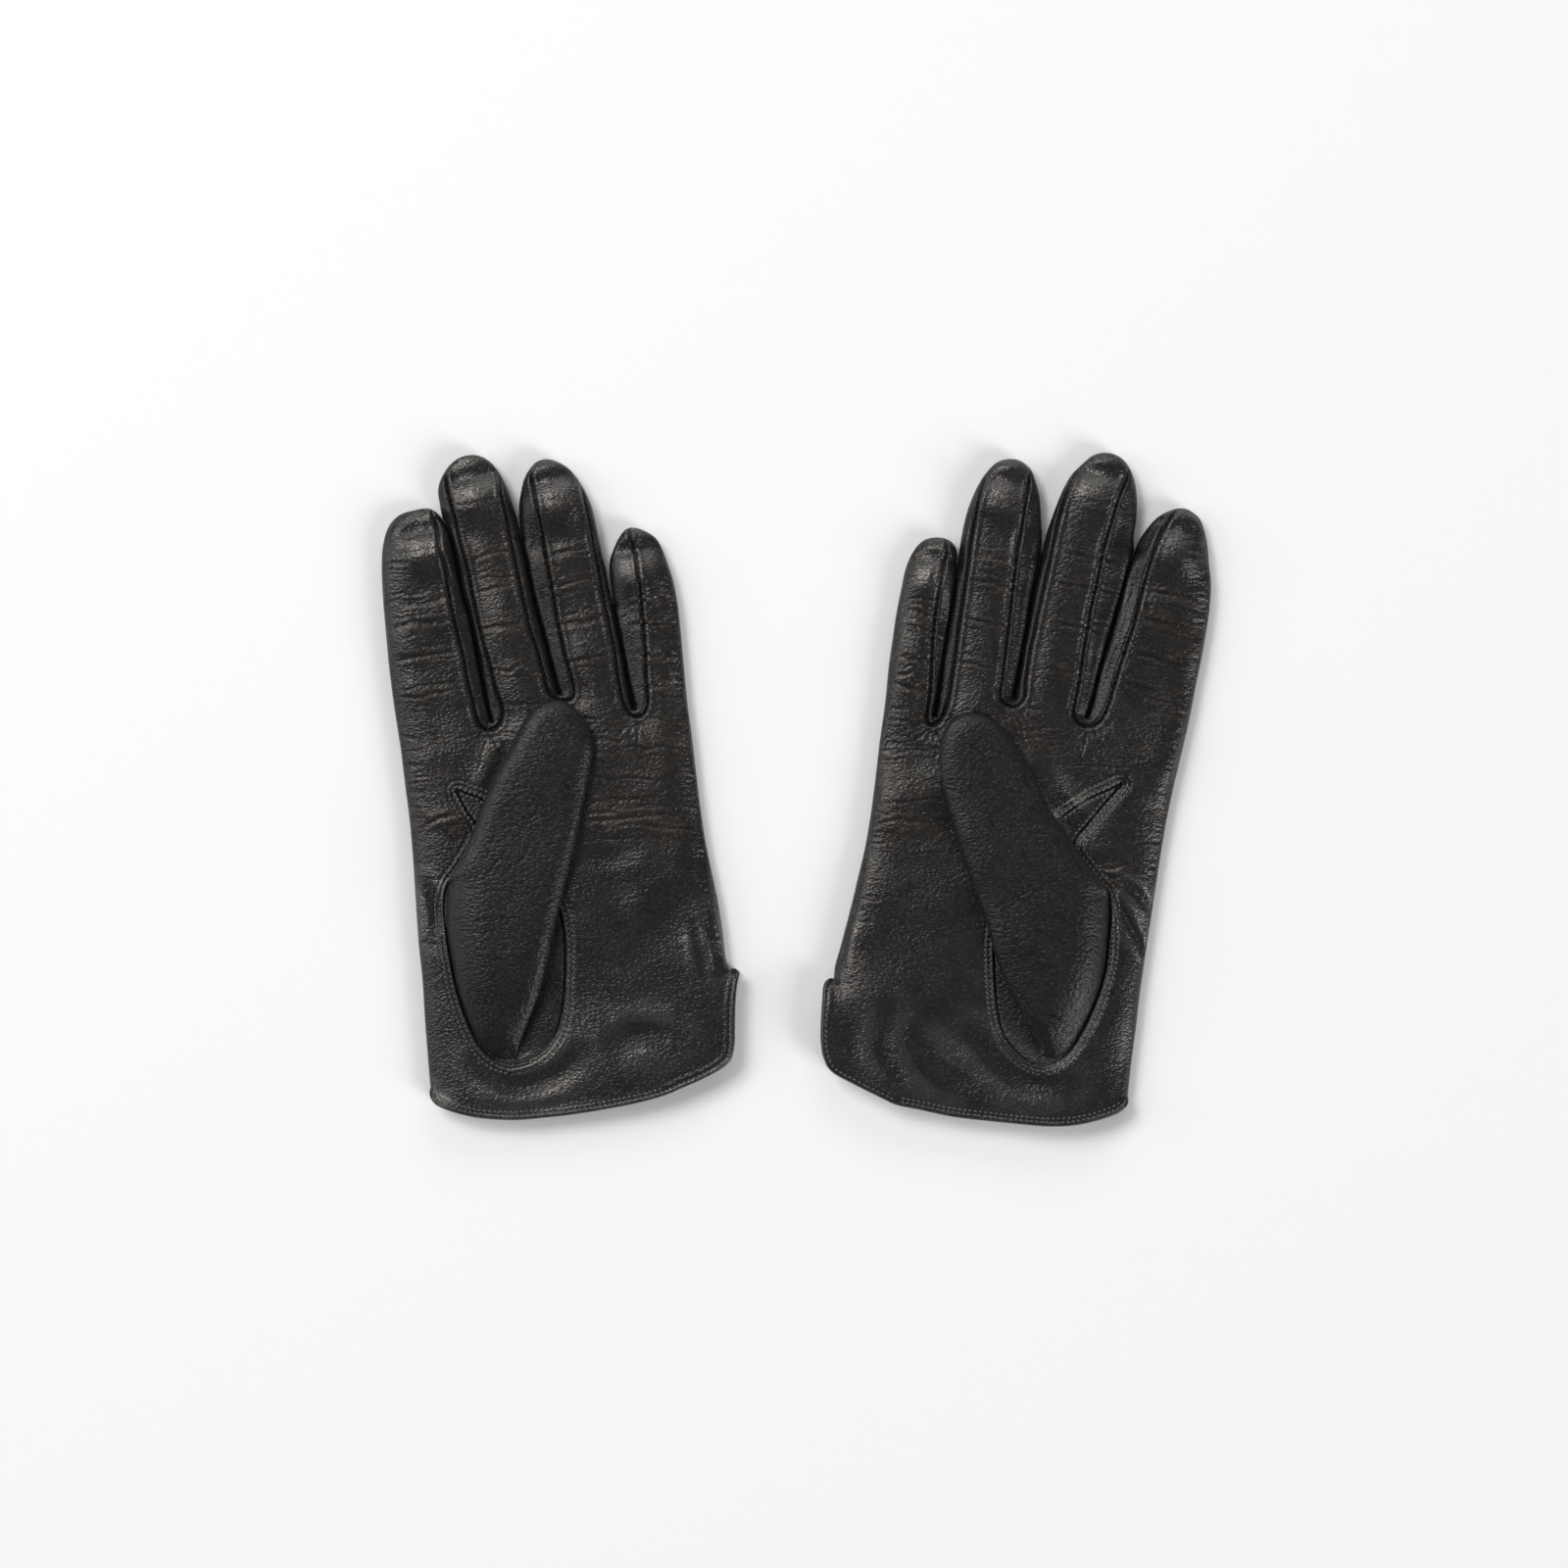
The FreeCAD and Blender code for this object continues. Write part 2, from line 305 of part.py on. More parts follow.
def glove(side, pattern):
    """A whole glove. sign is +1 where the index finger is at the low-X side."""
    sign = 1 if pattern["index_outer"][0][0] < pattern["little_outer"][0][0] else -1

    # shared curves between neighbouring fingers, moved apart by half the gap
    def apart(key, towards):
        return shift(pattern[key], towards * sign * GAP)

    bases = {n: pattern[n + "_base"] for n in ("index", "middle", "ring", "little")}
    im, mr, rl = "index_middle", "middle_ring", "ring_little"
    # shift() moves to the left of the direction; these curves run from the tip to the base
    near = {k: apart(k, -1) for k in (im, mr, rl)}  # on the index side of the gap
    far = {k: apart(k, 1) for k in (im, mr, rl)}  # on the little-finger side
    index = pattern["index_outer"] + pattern["index_tip"][:-1] + near[im]
    middle = far[im][::-1] + pattern["middle_tip"] + near[mr]
    ring = far[mr][::-1] + pattern["ring_tip"] + near[rl]
    little = far[rl][::-1] + pattern["little_tip"] + pattern["little_outer"]

    def turned(outline, seams, neighbours):
        """Every outline is handed on clockwise, so that its inside is at its right."""
        if sign > 0:
            return outline, seams, neighbours
        return outline[::-1], seams[::-1], neighbours[::-1]

    fingers = {
        "index": (index, [None, pattern["index_seam"]], [None, "middle"]),
        "middle": (
            middle,
            [pattern["middle_seam_index"], pattern["middle_seam_ring"]],
            ["index", "ring"],
        ),
        "ring": (
            ring,
            [pattern["ring_seam_middle"], pattern["ring_seam_little"]],
            ["middle", "little"],
        ),
        "little": (little, [pattern["little_seam"], None], ["ring", None]),
    }
    for name, (outline, seams, neighbours) in fingers.items():
        outline, seams, neighbours = turned(clean(outline, 0.3), seams, neighbours)
        apex = max(outline, key=lambda p: p[1])
        finger(side, name, outline, apex, seams, bases[name], sign > 0, neighbours)

    # ------------------------------------------------------------ hand
    def below(curve, name):
        point, along = bases[name]
        return cut(curve, point, (-along[0], -along[1]))

    index_edge = below(pattern["index_outer"], "index")  # cuff to base line
    little_edge = below(pattern["little_outer"], "little")  # base line to vent
    crotches = [(im, "index", "middle"), (mr, "middle", "ring"), (rl, "ring", "little")]
    seam_of = {
        im: ("index_seam", "middle_seam_index"),
        mr: ("middle_seam_ring", "ring_seam_middle"),
        rl: ("ring_seam_little", "little_seam"),
    }
    palm_top, back_top = [], []
    for key, a, b in crotches:
        down = below(pattern[seam_of[key][0]], a)
        up = below(pattern[seam_of[key][1]], b)[::-1]
        bottom = pattern["crotch_" + key]
        slot_down = below(near[key], a)
        slot_up = below(far[key], b)[::-1]
        palm_top += down + bottom + up
        back_top += slot_down + slot_up
        # the fork of leather at the crotch: a flange round the slot, and its wall
        flange = down + bottom + up + slot_up[::-1] + slot_down[::-1]
        slot = slot_down + slot_up
        wall = strip(slot, -sign * WALL)
        piece(
            "%s_crotch_%s" % (side, key),
            [
                ([clean(flange)], "front_level", "leather"),
                ([wall], "leather", "hand_cavity"),
            ],
        )

    vent, hem = pattern["vent"], pattern["hem"]
    # the bound edge runs from the top of the vent down to the hem, and on to the index side
    bound = vent[2:] + hem[1:-2]
    joint = len(vent) - 3
    vent_outer, hem_outer = bound[: joint + 1], bound[joint:]
    vent_inner = shift(bound, -sign * size("vent_width"))[: joint + 1]
    hem_inner = shift(bound, -sign * size("hem_width"))[joint:]
    vent_band = vent_outer + vent_inner[::-1]
    hem_band = hem_outer + hem[-2:] + hem_inner[::-1]
    # the hand panels stop at the inner edges of the hem and of the vent binding
    lower = vent_inner + hem_inner
    palm = index_edge + palm_top + little_edge + lower
    back = index_edge + back_top + little_edge + lower
    opening = pattern["opening"]
    piece(
        side + "_palm_panel",
        [
            ([clean(palm, 0.2), clean(opening)], "front_level", "leather"),
            ([strip(index_edge, -sign * WALL)], "leather", "hand_cavity"),
        ],
    )
    piece(
        side + "_back_panel",
        [
            ([clean(back, 0.2)], None, "leather"),
            ([strip(little_edge[:-1], -sign * WALL)], "leather", "hand_cavity"),
        ],
    )

    # ------------------------------------------------------------ cuff
    piece(
        side + "_cuff_binding",
        [
            ([clean(hem_band, 0.2)], None, "hem_back_thickness"),
            ([strip(hem[-3:], -sign * 1.2)], "hem_back_thickness", "hem_side_height"),
            ([clean(hem_band, 0.2)], "hem_level", "hem_thickness"),
        ],
    )
    piece(
        side + "_vent_binding",
        [
            ([clean(vent_band, 0.2)], None, "hem_back_thickness"),
            (
                [[vent_outer[0], vent_outer[1], vent_inner[1], vent_inner[0]]],
                "hem_back_thickness",
                "hem_side_height",
            ),
            ([clean(vent_band, 0.2)], "hem_level", "hem_thickness"),
        ],
    )
    for row, distance in (("lower", 2.0), ("upper", 3.6)):
        line = shift(hem_outer, -sign * distance)[1:-1]
        piece(
            "%s_cuff_thread_%s" % (side, row),
            [([strip(line, -sign * size("thread"))], "hem_thread_level", "thread_height")],
        )

    # ------------------------------------------------------------ thumb
    foot, head = pattern["thumb_hinge"]
    axis = unit(sub(head, foot))
    outwards = (axis[1] * sign, -axis[0] * sign)  # from the fold at the thumb's root over the palm
    thumb = clip(clean(pattern["thumb"], 0.2), foot, outwards, 0.7)
    return dict(
        side=side, sign=sign, opening=opening, thumb=thumb, foot=foot, head=head,
        axis=axis, outwards=outwards,
    )


def thumb_pieces(g, pattern):
    side, sign, thumb, foot = g["side"], g["sign"], g["thumb"], g["foot"]
    axis, outwards, opening = g["axis"], g["outwards"], g["opening"]
    # the thumb outline, taken from the foot of its fold line, round the free side and tip
    distances = [dot(sub(p, foot), outwards) for p in thumb]
    on_line = [i for i, v in enumerate(distances) if v < 0.71]
    low = min(on_line, key=lambda i: dot(sub(thumb[i], foot), axis))
    ring = thumb[low:] + thumb[:low]
    if dot(sub(ring[1], foot), outwards) < 0.71:
        ring = [ring[0]] + ring[1:][::-1]
    # ring now starts at the foot, runs up the free side, round the tip, back to the fold line's upper end
    tip = max(range(len(ring)), key=lambda i: dot(sub(ring[i], foot), (0, 1)))
    free_side, fold_side = ring[: tip + 1], ring[tip:]
    turn = 1 if sign > 0 else -1
    inner = shift(ring, turn * WALL)
    seam_wall = clean(free_side + inner[: tip + 1][::-1])
    fold_wall = clean(fold_side + inner[tip:][::-1])
    piece(
        side + "_thumb_front",
        [
            ([ring], "thumb_front_level", "leather"),
            ([fold_wall], "thumb_wall_level", "thumb_cavity"),
        ],
    )
    # the underside stops where the thumb opens into the hand
    mouth = pattern["thumb_mouth"]
    under = clip(ring, mouth[0], mouth[1])
    piece(
        side + "_thumb_back",
        [
            ([under], "thumb_level", "leather"),
            ([seam_wall], "thumb_wall_level", "thumb_cavity"),
        ],
    )
    # the thumb's root, sewn into the opening round the mouth, and the small gore above it
    gore, gore_side = pattern["quirk_line"]
    root = clip(clean(opening), gore, (-gore_side[0], -gore_side[1]))
    piece(
        side + "_thumb_gusset",
        [([root, clean(pattern["thumb_hole"])], "front_level", "leather")],
    )
    piece(
        side + "_quirk_gusset",
        [([clip(clean(opening), gore, gore_side)], "front_level", "leather")],
    )
    for k, (row, dist) in enumerate((("inner", 0.5), ("outer", 2.6))):
        curve = shift(pattern["opening_stitches"], -sign * dist)
        piece(
            "%s_thumb_thread_%s" % (side, row),
            [([strip(curve, -sign * size("thread"))], "hand_height", "thread_height")],
        )


for side, pattern in (("left", LEFT_PATTERN), ("right", RIGHT_PATTERN)):
    thumb_pieces(glove(side, pattern), pattern)

# ---------------------------------------------------------------- checks and files
doc.recompute()
faults = []
for thing in doc.Objects:
    if "Invalid" in thing.State or "Error" in thing.State:
        faults.append("%s is %s" % (thing.Name, thing.State))
for node in NODES:
    shape = node.Shape
    if shape.isNull() or not shape.isValid() or shape.Volume < 0.01:
        faults.append("%s has no valid shape" % node.Label)
    elif len(shape.Solids) != 1:
        faults.append("%s has %d solids" % (node.Label, len(shape.Solids)))
if faults:
    raise SystemExit("\n".join(faults))

os.makedirs("parts", exist_ok=True)
for node in NODES:
    node.Shape.exportStep("parts/%s.step" % node.Label)
box = Part.Compound([n.Shape for n in NODES]).BoundBox
print("nodes", len(NODES))
print("box", box)
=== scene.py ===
import math

import bpy
import numpy as np
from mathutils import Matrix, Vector
from mathutils.geometry import delaunay_2d_cdt


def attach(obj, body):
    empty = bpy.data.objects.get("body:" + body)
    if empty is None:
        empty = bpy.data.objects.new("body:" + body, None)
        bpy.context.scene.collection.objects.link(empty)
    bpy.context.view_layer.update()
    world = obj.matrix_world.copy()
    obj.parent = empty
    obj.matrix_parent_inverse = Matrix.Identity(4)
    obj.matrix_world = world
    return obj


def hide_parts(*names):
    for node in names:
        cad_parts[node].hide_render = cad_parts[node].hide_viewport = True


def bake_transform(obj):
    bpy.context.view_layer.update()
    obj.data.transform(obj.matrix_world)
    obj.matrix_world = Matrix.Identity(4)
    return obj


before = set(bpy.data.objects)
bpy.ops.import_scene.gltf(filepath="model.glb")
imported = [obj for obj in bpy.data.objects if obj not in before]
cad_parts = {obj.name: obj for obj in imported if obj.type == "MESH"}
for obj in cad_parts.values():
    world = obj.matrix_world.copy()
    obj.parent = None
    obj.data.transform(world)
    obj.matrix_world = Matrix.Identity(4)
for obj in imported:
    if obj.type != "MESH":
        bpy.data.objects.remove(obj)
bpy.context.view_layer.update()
MM = 0.001
FINE = 0.42  # spacing of the leather surface's points, in millimetres

# A pair of black leather gloves, palms up. Plane curves are in millimetres, in the CAD frame.
LEFT_PATTERN = {
    "index_outer": [(-119.5, -97.6), (-120.3, -88), (-121.3, -75.2), (-122.1, -62.4), (-123.4, -49.6), (-124.5, -33.6), (-125.1, -24), (-126.2, -11.2), (-127.8, 1.6), (-129.4, 14.4), (-131.4, 27.2), (-133, 40), (-134.2, 52.8), (-135.2, 65.6), (-135.4, 74.6), (-134.9, 80), (-133.3, 85.4), (-130.2, 89.1), (-126.4, 90.7)],
    "index_tip": [(-125, 91), (-122.4, 91.5), (-120.2, 91.7), (-118, 90.8), (-115.6, 88.3)],
    "index_middle": [(-115.6, 88.3), (-113.9, 85.4), (-112.3, 80.1), (-110.7, 72.8), (-109, 64.6), (-106.6, 56.4), (-104.8, 48), (-103.2, 39.7), (-101.6, 31.5), (-100.2, 25), (-99.4, 22.4)],
    "middle_tip": [(-116.5, 93.1), (-117, 98.1), (-115.6, 102.2), (-113.1, 105.9), (-109.8, 108.3), (-105.8, 109.2), (-102.5, 108.5), (-99.2, 106.2), (-96.8, 103), (-94.3, 98.1), (-92.3, 92.4), (-90.8, 86.7)],
    "middle_ring": [(-89.8, 81.8), (-88.2, 74.9), (-86.6, 66.7), (-84.1, 56.4), (-82.3, 49.9), (-80.8, 43.8), (-78.9, 36.8), (-77.6, 32.3), (-77.1, 31.4)],
    "ring_tip": [(-90.3, 86.1), (-90.6, 92.1), (-89.9, 97), (-88.8, 101.5), (-87, 104.6), (-85.2, 106.7), (-82.1, 107.8), (-78.4, 107.1), (-74.8, 105.1), (-72.2, 102.4), (-69.5, 98.3), (-67.2, 93.4), (-65.7, 88), (-64.5, 82.2), (-63.2, 76.3), (-62, 71.4), (-61.3, 66.5)],
    "ring_little": [(-59.6, 59.7), (-57.8, 50.8), (-56.6, 44.5), (-55.2, 36.8), (-53.9, 30.4), (-53.1, 26.6)],
    "little_tip": [(-61, 70.2), (-61, 74.1), (-59.6, 78.6), (-57.8, 82.2), (-56.2, 84.5), (-54.9, 85.3), (-52.4, 85.3), (-49.2, 84.2), (-46.1, 82.2), (-44.3, 79.5)],
    "little_outer": [(-42.1, 74.1), (-40.3, 68.7), (-38.9, 62), (-37.8, 52.8), (-36.7, 40.5), (-35.5, 28.3), (-33.9, 16.1), (-32.6, 4.8), (-31, -8), (-29.6, -17), (-27.4, -27.8), (-25.4, -37.4), (-24, -46.4), (-22.7, -56.3), (-21.4, -58.7)],
    "index_seam": [(-118.9, 90.2), (-117.8, 88), (-117.2, 85), (-116.2, 78.9), (-114.7, 72.8), (-113.5, 65.4), (-111.9, 57.3), (-110.2, 49.9), (-108.4, 42.6), (-107, 34.8), (-105.3, 28.3), (-104.2, 23.4)],
    "middle_seam_index": [(-114.4, 102.7), (-113.7, 98.1), (-112.3, 92.4), (-111.3, 88.3), (-109.8, 81.8), (-108.2, 76.1), (-106.8, 70.3), (-105.3, 62.6), (-103.7, 54.8), (-102.9, 51.2), (-101.7, 46.6), (-99.6, 39.7), (-98.2, 33.6), (-96.8, 29.5)],
    "middle_seam_ring": [(-98.1, 105), (-97.2, 103.4), (-96.4, 99.3), (-95.6, 94.4), (-94.3, 87.5), (-93.1, 81.8), (-91.9, 75.6), (-90.2, 67.9), (-88.2, 58.9), (-86.4, 50.8), (-85.3, 47.8), (-83.7, 42.6), (-82.1, 36.4), (-80.9, 32.3)],
    "ring_seam_middle": [(-86.9, 104), (-86.1, 100.2), (-85.2, 95.7), (-84.3, 91.2), (-83.4, 86.7), (-82.3, 80.4), (-81.2, 74.1), (-80, 67.8), (-78.9, 61.5), (-77.8, 54.8), (-76.2, 48), (-75.4, 43.8), (-74.3, 40.2), (-73.1, 35.6)],
    "ring_seam_little": [(-70.2, 98.6), (-69, 93.9), (-67.7, 88.4), (-66.8, 84), (-65.7, 78.1), (-64.5, 72.3), (-63.2, 65.1), (-61.8, 58.4), (-60.5, 51.6), (-59.3, 46.1), (-58.4, 39.4), (-57.5, 33.6), (-56.3, 28.3)],
    "little_seam": [(-54.6, 83.8), (-53.3, 79.5), (-52.2, 75.4), (-51.5, 70.9), (-50.8, 65.1), (-50.2, 58.4), (-49.6, 51.6), (-49.2, 44.9), (-49, 38.4), (-48.6, 32.6)],
    "crotch_index_middle": [(-102.7, 20.5), (-100.9, 19.1), (-97.6, 20.2), (-95.9, 23), (-95.7, 26.6)],
    "crotch_middle_ring": [(-79.4, 30.1), (-77, 29), (-74.7, 28.8), (-72.8, 30.2), (-72.5, 32.8)],
    "crotch_ring_little": [(-54.7, 25), (-52.2, 23.5), (-49.8, 24.6), (-48.4, 28.2)],
    "vent": [(-21.4, -58.7), (-19.9, -58.7), (-18.4, -60.1), (-18.9, -61.8), (-19.7, -67.8), (-20, -76.4), (-20.2, -84.2), (-21.3, -88.3), (-23.8, -90.7), (-29.4, -94), (-38, -97.8), (-41.8, -99.5)],
    "hem": [(-41.8, -99.5), (-50.8, -102.1), (-63.6, -104.6), (-73.4, -106.1), (-80.8, -106.9), (-90.9, -107.8), (-97, -107.7), (-105.2, -106.9), (-113.3, -104.8), (-117.9, -102.6), (-119.5, -100.2), (-119.5, -97.6)],
    "thumb": [(-91.8, -88.3), (-97.9, -87.7), (-103.1, -82.7), (-107.2, -74.6), (-110.5, -64.3), (-112.5, -54.4), (-113.8, -45.8), (-114.1, -38.4), (-113.6, -31.4), (-112, -27.5), (-109.6, -23), (-105.9, -15.7), (-101.8, -4.3), (-99.4, 1.1), (-96.1, 8), (-93.5, 12.7), (-89.8, 20.1), (-85.3, 26.6), (-82.1, 28.5), (-78.9, 29.1), (-75.7, 28.7), (-72.8, 27.2), (-70.6, 25), (-68.2, 21.8), (-66.4, 17.6), (-65.7, 13.1), (-66.3, 9.3), (-67.2, 4.8), (-68.3, -1), (-70.4, -11.6), (-72.8, -23), (-75.3, -32.8), (-77.3, -41), (-80.7, -56.6), (-83.6, -66.8), (-86.8, -75), (-89.7, -82.3)],
    "opening": [(-93, -89.6), (-97.9, -88.2), (-103.1, -83.3), (-107.2, -75.2), (-110.5, -65), (-112.6, -54.7), (-113.9, -46.4), (-114.6, -38.4), (-114.1, -32.6), (-111.8, -24), (-107.7, -16.3), (-105.1, -11.8), (-107, -7.7), (-109.3, -3.5), (-110.9, -0.2), (-107, -1.6), (-103.2, -2.9), (-99, -6.1), (-90.4, -14.4), (-82.4, -27.2), (-77.6, -38.4), (-75.7, -47), (-75.4, -56), (-75.7, -64.6), (-76.6, -73), (-78.7, -79.9), (-82.8, -85.2), (-88.2, -88.5)],
    "thumb_hinge": [(-92, -89), (-112.8, -28.2)],
    "index_base": ((-116.3, 26.6), (-0.1416, 0.99)),
    "middle_base": ((-88.2, 34.2), (-0.209, 0.978)),
    "ring_base": ((-65.1, 36.8), (-0.208, 0.978)),
    "little_base": ((-43.4, 29.8), (-0.152, 0.988)),
    "quirk_line": ((-101.6, -9.6), (-0.7311, 0.6823)),
    "thumb_hole": [(-105.8, -32), (-90.4, -21.4), (-82.1, -32), (-80.8, -49.6), (-85, -64), (-90.4, -75.2), (-96.2, -81), (-99, -75.2), (-102.2, -62.4), (-104.5, -49.6)],
    "opening_stitches": [(-110.9, -25.9), (-112.6, -29.1), (-114.1, -32.6), (-114.6, -38.4), (-113.9, -46.4), (-112.6, -54.7), (-110.5, -65), (-107.2, -75.2), (-103.1, -83.3), (-97.9, -88.2), (-93, -89.6), (-88.2, -88.5), (-82.8, -85.2), (-78.7, -79.9), (-76.6, -73), (-75.7, -64.6), (-75.4, -56), (-75.7, -48.3)],
    "thumb_mouth": ((-90.4, -19.5), (0.4472, 0.8944)),
}

RIGHT_PATTERN = {
    "index_outer": [(108.3, -100.2), (109.4, -89.6), (110.9, -78.4), (112.2, -67.2), (113.8, -56), (116, -41.6), (117.3, -33), (118.9, -22.4), (120.8, -11.2), (122.6, -2.3), (125, 8), (126.9, 16), (129, 25.6), (130.7, 34.6), (132.4, 42.6), (133.9, 51.2), (135, 58.6), (135.5, 67.5), (134.9, 72.8), (134.3, 79.7), (133.1, 85), (131.8, 88.3), (129.8, 90.1), (127.8, 91.4)],
    "index_tip": [(124.9, 91.7), (121.7, 90.8), (118.4, 89.1), (115.9, 86.7), (113.9, 84.2), (111.8, 81), (111.8, 81)],
    "index_middle": [(110.4, 77.7), (108.6, 72.4), (106.9, 66.2), (105.3, 60.5), (103.7, 54.8), (102.2, 49.6), (100.5, 43.8), (98.5, 36.8), (96.9, 30), (95.4, 25.3), (94.9, 23.7)],
    "middle_tip": [(110.3, 82.6), (111.1, 87.5), (111.4, 92.4), (111.2, 96.4), (110.4, 101), (109, 104.6), (106.9, 107.5), (104.1, 109.3), (100.4, 109.9), (96.7, 108.9), (93.5, 106.2), (90.2, 103), (87.4, 98.5), (84.5, 91.5), (82.3, 85.4), (81.1, 81)],
    "middle_ring": [(79.8, 76.1), (78.6, 70.3), (77, 62.6), (75.4, 53.2), (74.2, 46.7), (72.8, 39), (71.5, 32.6), (71, 29.8)],
    "ring_tip": [(80.2, 79.7), (80.3, 84.2), (80, 89.1), (79.6, 95.2), (78.6, 99.3), (77, 103.8), (74.9, 106.2), (72.1, 107.6), (68.8, 107.8), (65.5, 106.7), (63.1, 104.6), (60.6, 101.3), (58.2, 96.9), (55.7, 90.3), (54.1, 83.4), (53.3, 78.5)],
    "ring_little": [(52.5, 72.8), (51.3, 62.6), (49.9, 53.8), (48.5, 45.8), (47.2, 36.5), (46.1, 28.3), (45.4, 24)],
    "little_tip": [(52.6, 77.3), (51.7, 79.7), (50, 81.3), (48, 82), (45.2, 82.2), (42.3, 81.6), (39.8, 79.7), (37.8, 76.9)],
    "little_outer": [(35.7, 72), (34.1, 64.6), (32.5, 56.4), (31.5, 49.6), (30.2, 40.5), (29, 28.3), (27.2, 15.4), (25.7, 2.6), (24, -10.2), (22.2, -20.2), (20, -29.4), (17.6, -39.4), (15.5, -47.4), (13.9, -53.4), (12.6, -57.8), (12.2, -61.8)],
    "index_seam": [(124.3, 91), (122.5, 89.1), (120, 85.4), (117.9, 81.3), (116.3, 77.3), (114.7, 72), (113.3, 66.7), (111.8, 61), (110.6, 56.1), (109.4, 51.8), (108.3, 48.7), (106.7, 43.8), (105.1, 38.9), (103.4, 33.2), (102.2, 29.1)],
    "middle_seam_index": [(108.4, 104.2), (108, 101.8), (106.1, 97.3), (104.5, 92.8), (103.1, 88.3), (101.7, 83.4), (100, 77.7), (98.8, 71.1), (97.6, 65.4), (96.2, 59.7), (95.1, 53.4), (93.6, 44.6), (92.8, 38.5), (92, 33.2), (90.9, 28.2)],
    "middle_seam_ring": [(92, 103.8), (90, 101), (87.6, 95.7), (85.9, 89.5), (84.3, 82.6), (82.3, 72.8), (80.6, 65.4), (78.6, 56.4), (77.6, 51.2), (76.5, 46.7), (75.5, 40.5), (74.7, 34.4)],
    "ring_seam_middle": [(76.5, 104), (76, 100.8), (75.6, 97.3), (74.5, 91.2), (73.3, 84.2), (72.1, 77.7), (71.3, 71.1), (70.5, 64.6), (69.6, 56.4), (69.1, 51.2), (68.5, 46.7), (67.9, 41.4), (67.1, 35.6)],
    "ring_seam_little": [(62.1, 102.4), (60.3, 97.3), (59, 92), (57.8, 85), (56.6, 77.7), (55.7, 70.8), (54.5, 62.6), (53.4, 55.4), (52.6, 49.6), (51.8, 43.4), (50.8, 36.5), (49.8, 30)],
    "little_seam": [(48.8, 81.1), (49.2, 79.7), (49, 76.9), (48.2, 72.8), (47.2, 67.5), (45.9, 61.3), (45.3, 56.4), (44.8, 51.2), (44.4, 46.7), (44.1, 38.5), (43.6, 30.4)],
    "crotch_index_middle": [(100.5, 24.6), (98.1, 21.4), (95.2, 20.3), (91.8, 21.4), (90.3, 24.2)],
    "crotch_middle_ring": [(74.5, 30.8), (73.2, 28.2), (71, 26.8), (68.5, 27.4), (66.7, 28.8), (66.5, 31.2)],
    "crotch_ring_little": [(48.5, 25.3), (46.9, 22.4), (44.3, 20.5), (42.9, 21.8), (42.8, 24.2)],
    "vent": [(12.2, -61.8), (10.6, -62), (9.1, -63.6), (8.5, -68.8), (8, -77), (8.1, -84.2), (9, -88), (11, -91.7), (18.7, -96.2), (26.9, -100.3), (32.4, -102.9)],
    "hem": [(32.4, -102.9), (39.1, -104.3), (51.4, -106.8), (61.6, -108), (69.7, -108.9), (83.1, -110), (92.1, -109.4), (101.1, -107.1), (106.1, -105), (108.2, -102.7), (108.3, -100.2)],
    "thumb": [(79.5, -88.2), (84.5, -88), (89, -84.5), (92.5, -79), (95.7, -72.8), (98.8, -65), (100.6, -57.3), (101.4, -48.6), (101.9, -40), (101.8, -34.9), (100, -31.6), (97.1, -27.9), (93.1, -22.2), (89, -16.1), (84.9, -10.4), (81.6, -5.1), (78.3, 2.3), (75.5, 7.4), (72.6, 12.4), (70.2, 16.5), (67.3, 20.2), (64.4, 22.6), (60.8, 24.4), (57.5, 25), (54.2, 24.8), (51.8, 23.8), (49.3, 21.4), (47.7, 18.1), (46.9, 15.3), (46.4, 9.6), (46.7, 3.8), (49, -5.4), (52.2, -17.3), (56.7, -30.8), (61.2, -42.2), (64.3, -53.1), (66.9, -59.8), (70.6, -67.9), (74.1, -75.1), (77.7, -83.2)],
    "opening": [(80.4, -90.1), (84.5, -88.6), (89, -85.1), (92.5, -79.7), (95.7, -73.4), (98.8, -65.4), (100.8, -57.6), (101.7, -48.6), (102.2, -40), (101.6, -33), (99, -28.2), (94.6, -21.4), (91, -17), (94.6, -11.8), (99, -6.4), (102.6, -2.2), (106.1, 1.8), (101, -0.6), (95.2, -3.2), (88.8, -7.4), (79.8, -14.4), (71.2, -27.2), (66.1, -40), (64.5, -49.6), (64.6, -58.1), (65, -66.6), (65.8, -73.3), (67.8, -80.1), (71.9, -85.4), (76.4, -89)],
    "thumb_hinge": [(83, -89), (101.3, -28.2)],
    "index_base": ((112.2, 26.6), (0.2, 0.98)),
    "middle_base": ((84.3, 32.6), (0.209, 0.978)),
    "ring_base": ((59, 34.6), (0.204, 0.979)),
    "little_base": ((37.3, 28.2), (0.172, 0.985)),
    "quirk_line": ((89.4, -12.2), (0.7557, 0.6549)),
    "thumb_hole": [(93.9, -32), (81.1, -20.2), (72.8, -30.4), (70.9, -46.4), (74.7, -62.4), (78.6, -72), (85.6, -80), (88.8, -75.2), (92, -62.4), (93.6, -46.4)],
    "opening_stitches": [(98.4, -27.5), (100.3, -30.4), (101.6, -33), (102.2, -40), (101.7, -48.6), (100.8, -57.6), (98.8, -65.4), (95.7, -73.4), (92.5, -79.7), (89, -85.1), (84.5, -88.6), (80.4, -90.1), (76.4, -89), (71.9, -85.4), (67.8, -80.1), (65.8, -73.3), (65, -66.6), (64.6, -58.1), (64.5, -50.2)],
    "thumb_mouth": ((81.1, -18.2), (-0.4856, 0.8742)),
}


